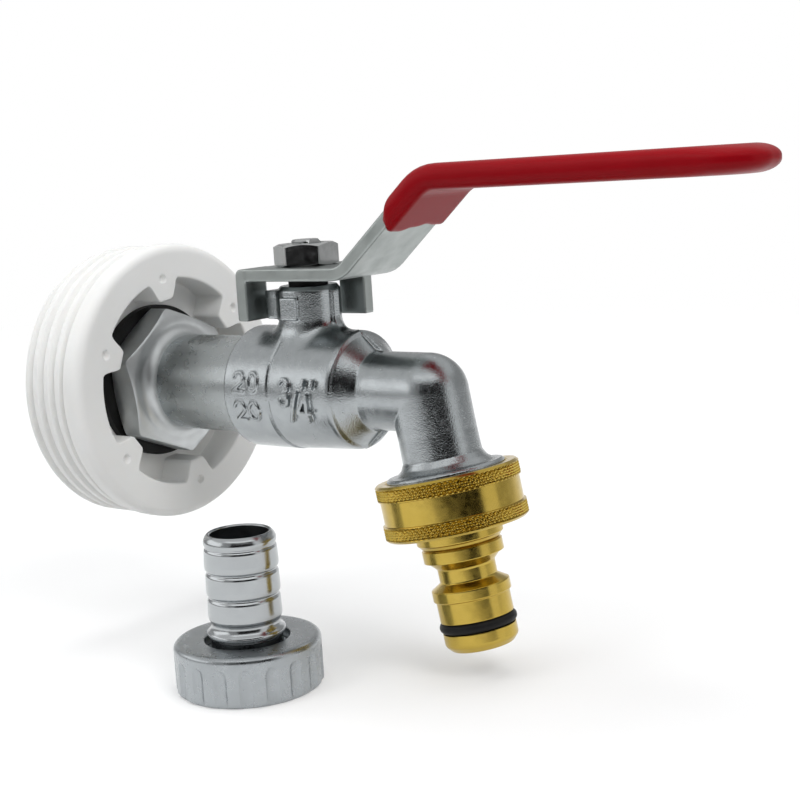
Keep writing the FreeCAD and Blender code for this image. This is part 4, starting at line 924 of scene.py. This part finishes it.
back = Vector((math.sin(AZIMUTH) * math.cos(ELEVATION), -math.cos(AZIMUTH) * math.cos(ELEVATION),
               math.sin(ELEVATION)))
right = Vector((math.cos(AZIMUTH), math.sin(AZIMUTH), 0))
up = back.cross(right)
level = right * math.cos(ROLL) + up * math.sin(ROLL)
lift = up * math.cos(ROLL) - right * math.sin(ROLL)
camera_data = bpy.data.cameras.new("camera")
camera_data.lens = FOCAL_PIXELS * SENSOR_WIDTH / PICTURE_WIDTH
camera_data.sensor_width = SENSOR_WIDTH
camera_data.clip_start, camera_data.clip_end = 0.01, 20
camera = bpy.data.objects.new("camera", camera_data)
bpy.context.scene.collection.objects.link(camera)
camera.matrix_world = Matrix((
    (level.x, lift.x, back.x, 0), (level.y, lift.y, back.y, 0), (level.z, lift.z, back.z, 0), (0, 0, 0, 1)))
camera.location = TARGET + back * DISTANCE
bpy.context.scene.camera = camera

# ---------------------------------------------------------------- lamps and cards
CENTRE = Vector((0.065, 0.0, -0.01))
CEILING_HALF, CEILING_HEIGHT = 1.5, 0.9


def lamp(name, place, size, watts):
    """A soft lamp aimed at the part; what the metal reflects of the studio are the cards."""
    light = bpy.data.lights.new(name, "AREA")
    light.energy = watts
    light.size = size
    holder = bpy.data.objects.new(name, light)
    bpy.context.scene.collection.objects.link(holder)
    holder.location = place
    holder.rotation_euler = (CENTRE - Vector(place)).to_track_quat("-Z", "Y").to_euler()
    holder.visible_glossy = False


def glowing_sheet(name, verts, faces, shade):
    """Part of the studio that only shows as a reflection."""
    mesh = bpy.data.meshes.new(name)
    mesh.from_pydata([tuple(v) for v in verts], [], faces)
    piece = bpy.data.objects.new(name, mesh)
    bpy.context.scene.collection.objects.link(piece)
    piece.visible_camera = False
    piece.visible_diffuse = False
    piece.visible_shadow = False
    mat, tree = bare_material(name)
    out = tree.nodes.new("ShaderNodeOutputMaterial")
    glow = add_node(tree, "ShaderNodeEmission", Color=(1, 1, 1, 1), Strength=shade)
    tree.links.new(glow.outputs[0], out.inputs[0])
    mesh.materials.append(mat)


def card(name, turn, edges, away, shade):
    """A curved card round the part.

    Its turn in degrees is counted from the camera's side; its lower and upper edge and its distance are in
    millimetres.
    """
    turns = np.radians(np.linspace(turn[0], turn[1], max(2, int((turn[1] - turn[0]) / 6) + 1)))
    toward = Vector((back.x, back.y, 0)).normalized()
    verts = []
    for z in edges:
        middle = Vector((CENTRE.x, CENTRE.y, z * MM))
        verts += [middle + (right * math.sin(a) + toward * math.cos(a)) * (away * MM) for a in turns]
    cols = len(turns)
    glowing_sheet(name, verts, [(j, j + 1, cols + j + 1, cols + j) for j in range(cols - 1)], shade)


lamp("key", (-0.8, -1.6, 1.7), 1.1, 11.0)
lamp("top", (0.1, 0.2, 2.3), 1.4, 18.0)
lamp("side", (1.9, -0.6, 1.8), 1.1, 22.0)
lamp("rim", (-1.5, -0.2, 1.2), 0.9, 6.0)

card("front_dark", (-28, 48), (-61, 380), 460, 0.01)
card("front_soft", (-60, 60), (385, 760), 460, 1.35)
card("left_low", (-58, -28), (-61, 380), 460, 0.38)
card("left_wall", (-180, -58), (-61, 75), 560, 0.4)
card("soft_left", (-118, -58), (75, 330), 560, 1.5)
card("left_upper", (-180, -118), (75, 420), 560, 0.45)
card("strip_right", (48, 75), (-61, 420), 560, 0.9)
card("right_wall", (75, 140), (-61, 800), 1200, 0.42)
card("back_low", (140, 220), (-61, 40), 350, 0.9)
card("back_wall", (140, 180), (40, 800), 1200, 0.4)
CEILING_CORNERS = ((-1, -1), (1, -1), (1, 1), (-1, 1))
glowing_sheet("ceiling", [(x * CEILING_HALF, y * CEILING_HALF, CEILING_HEIGHT) for x, y in CEILING_CORNERS],
              [(0, 1, 2, 3)], 0.75)

bpy.context.scene.view_settings.view_transform = "Standard"
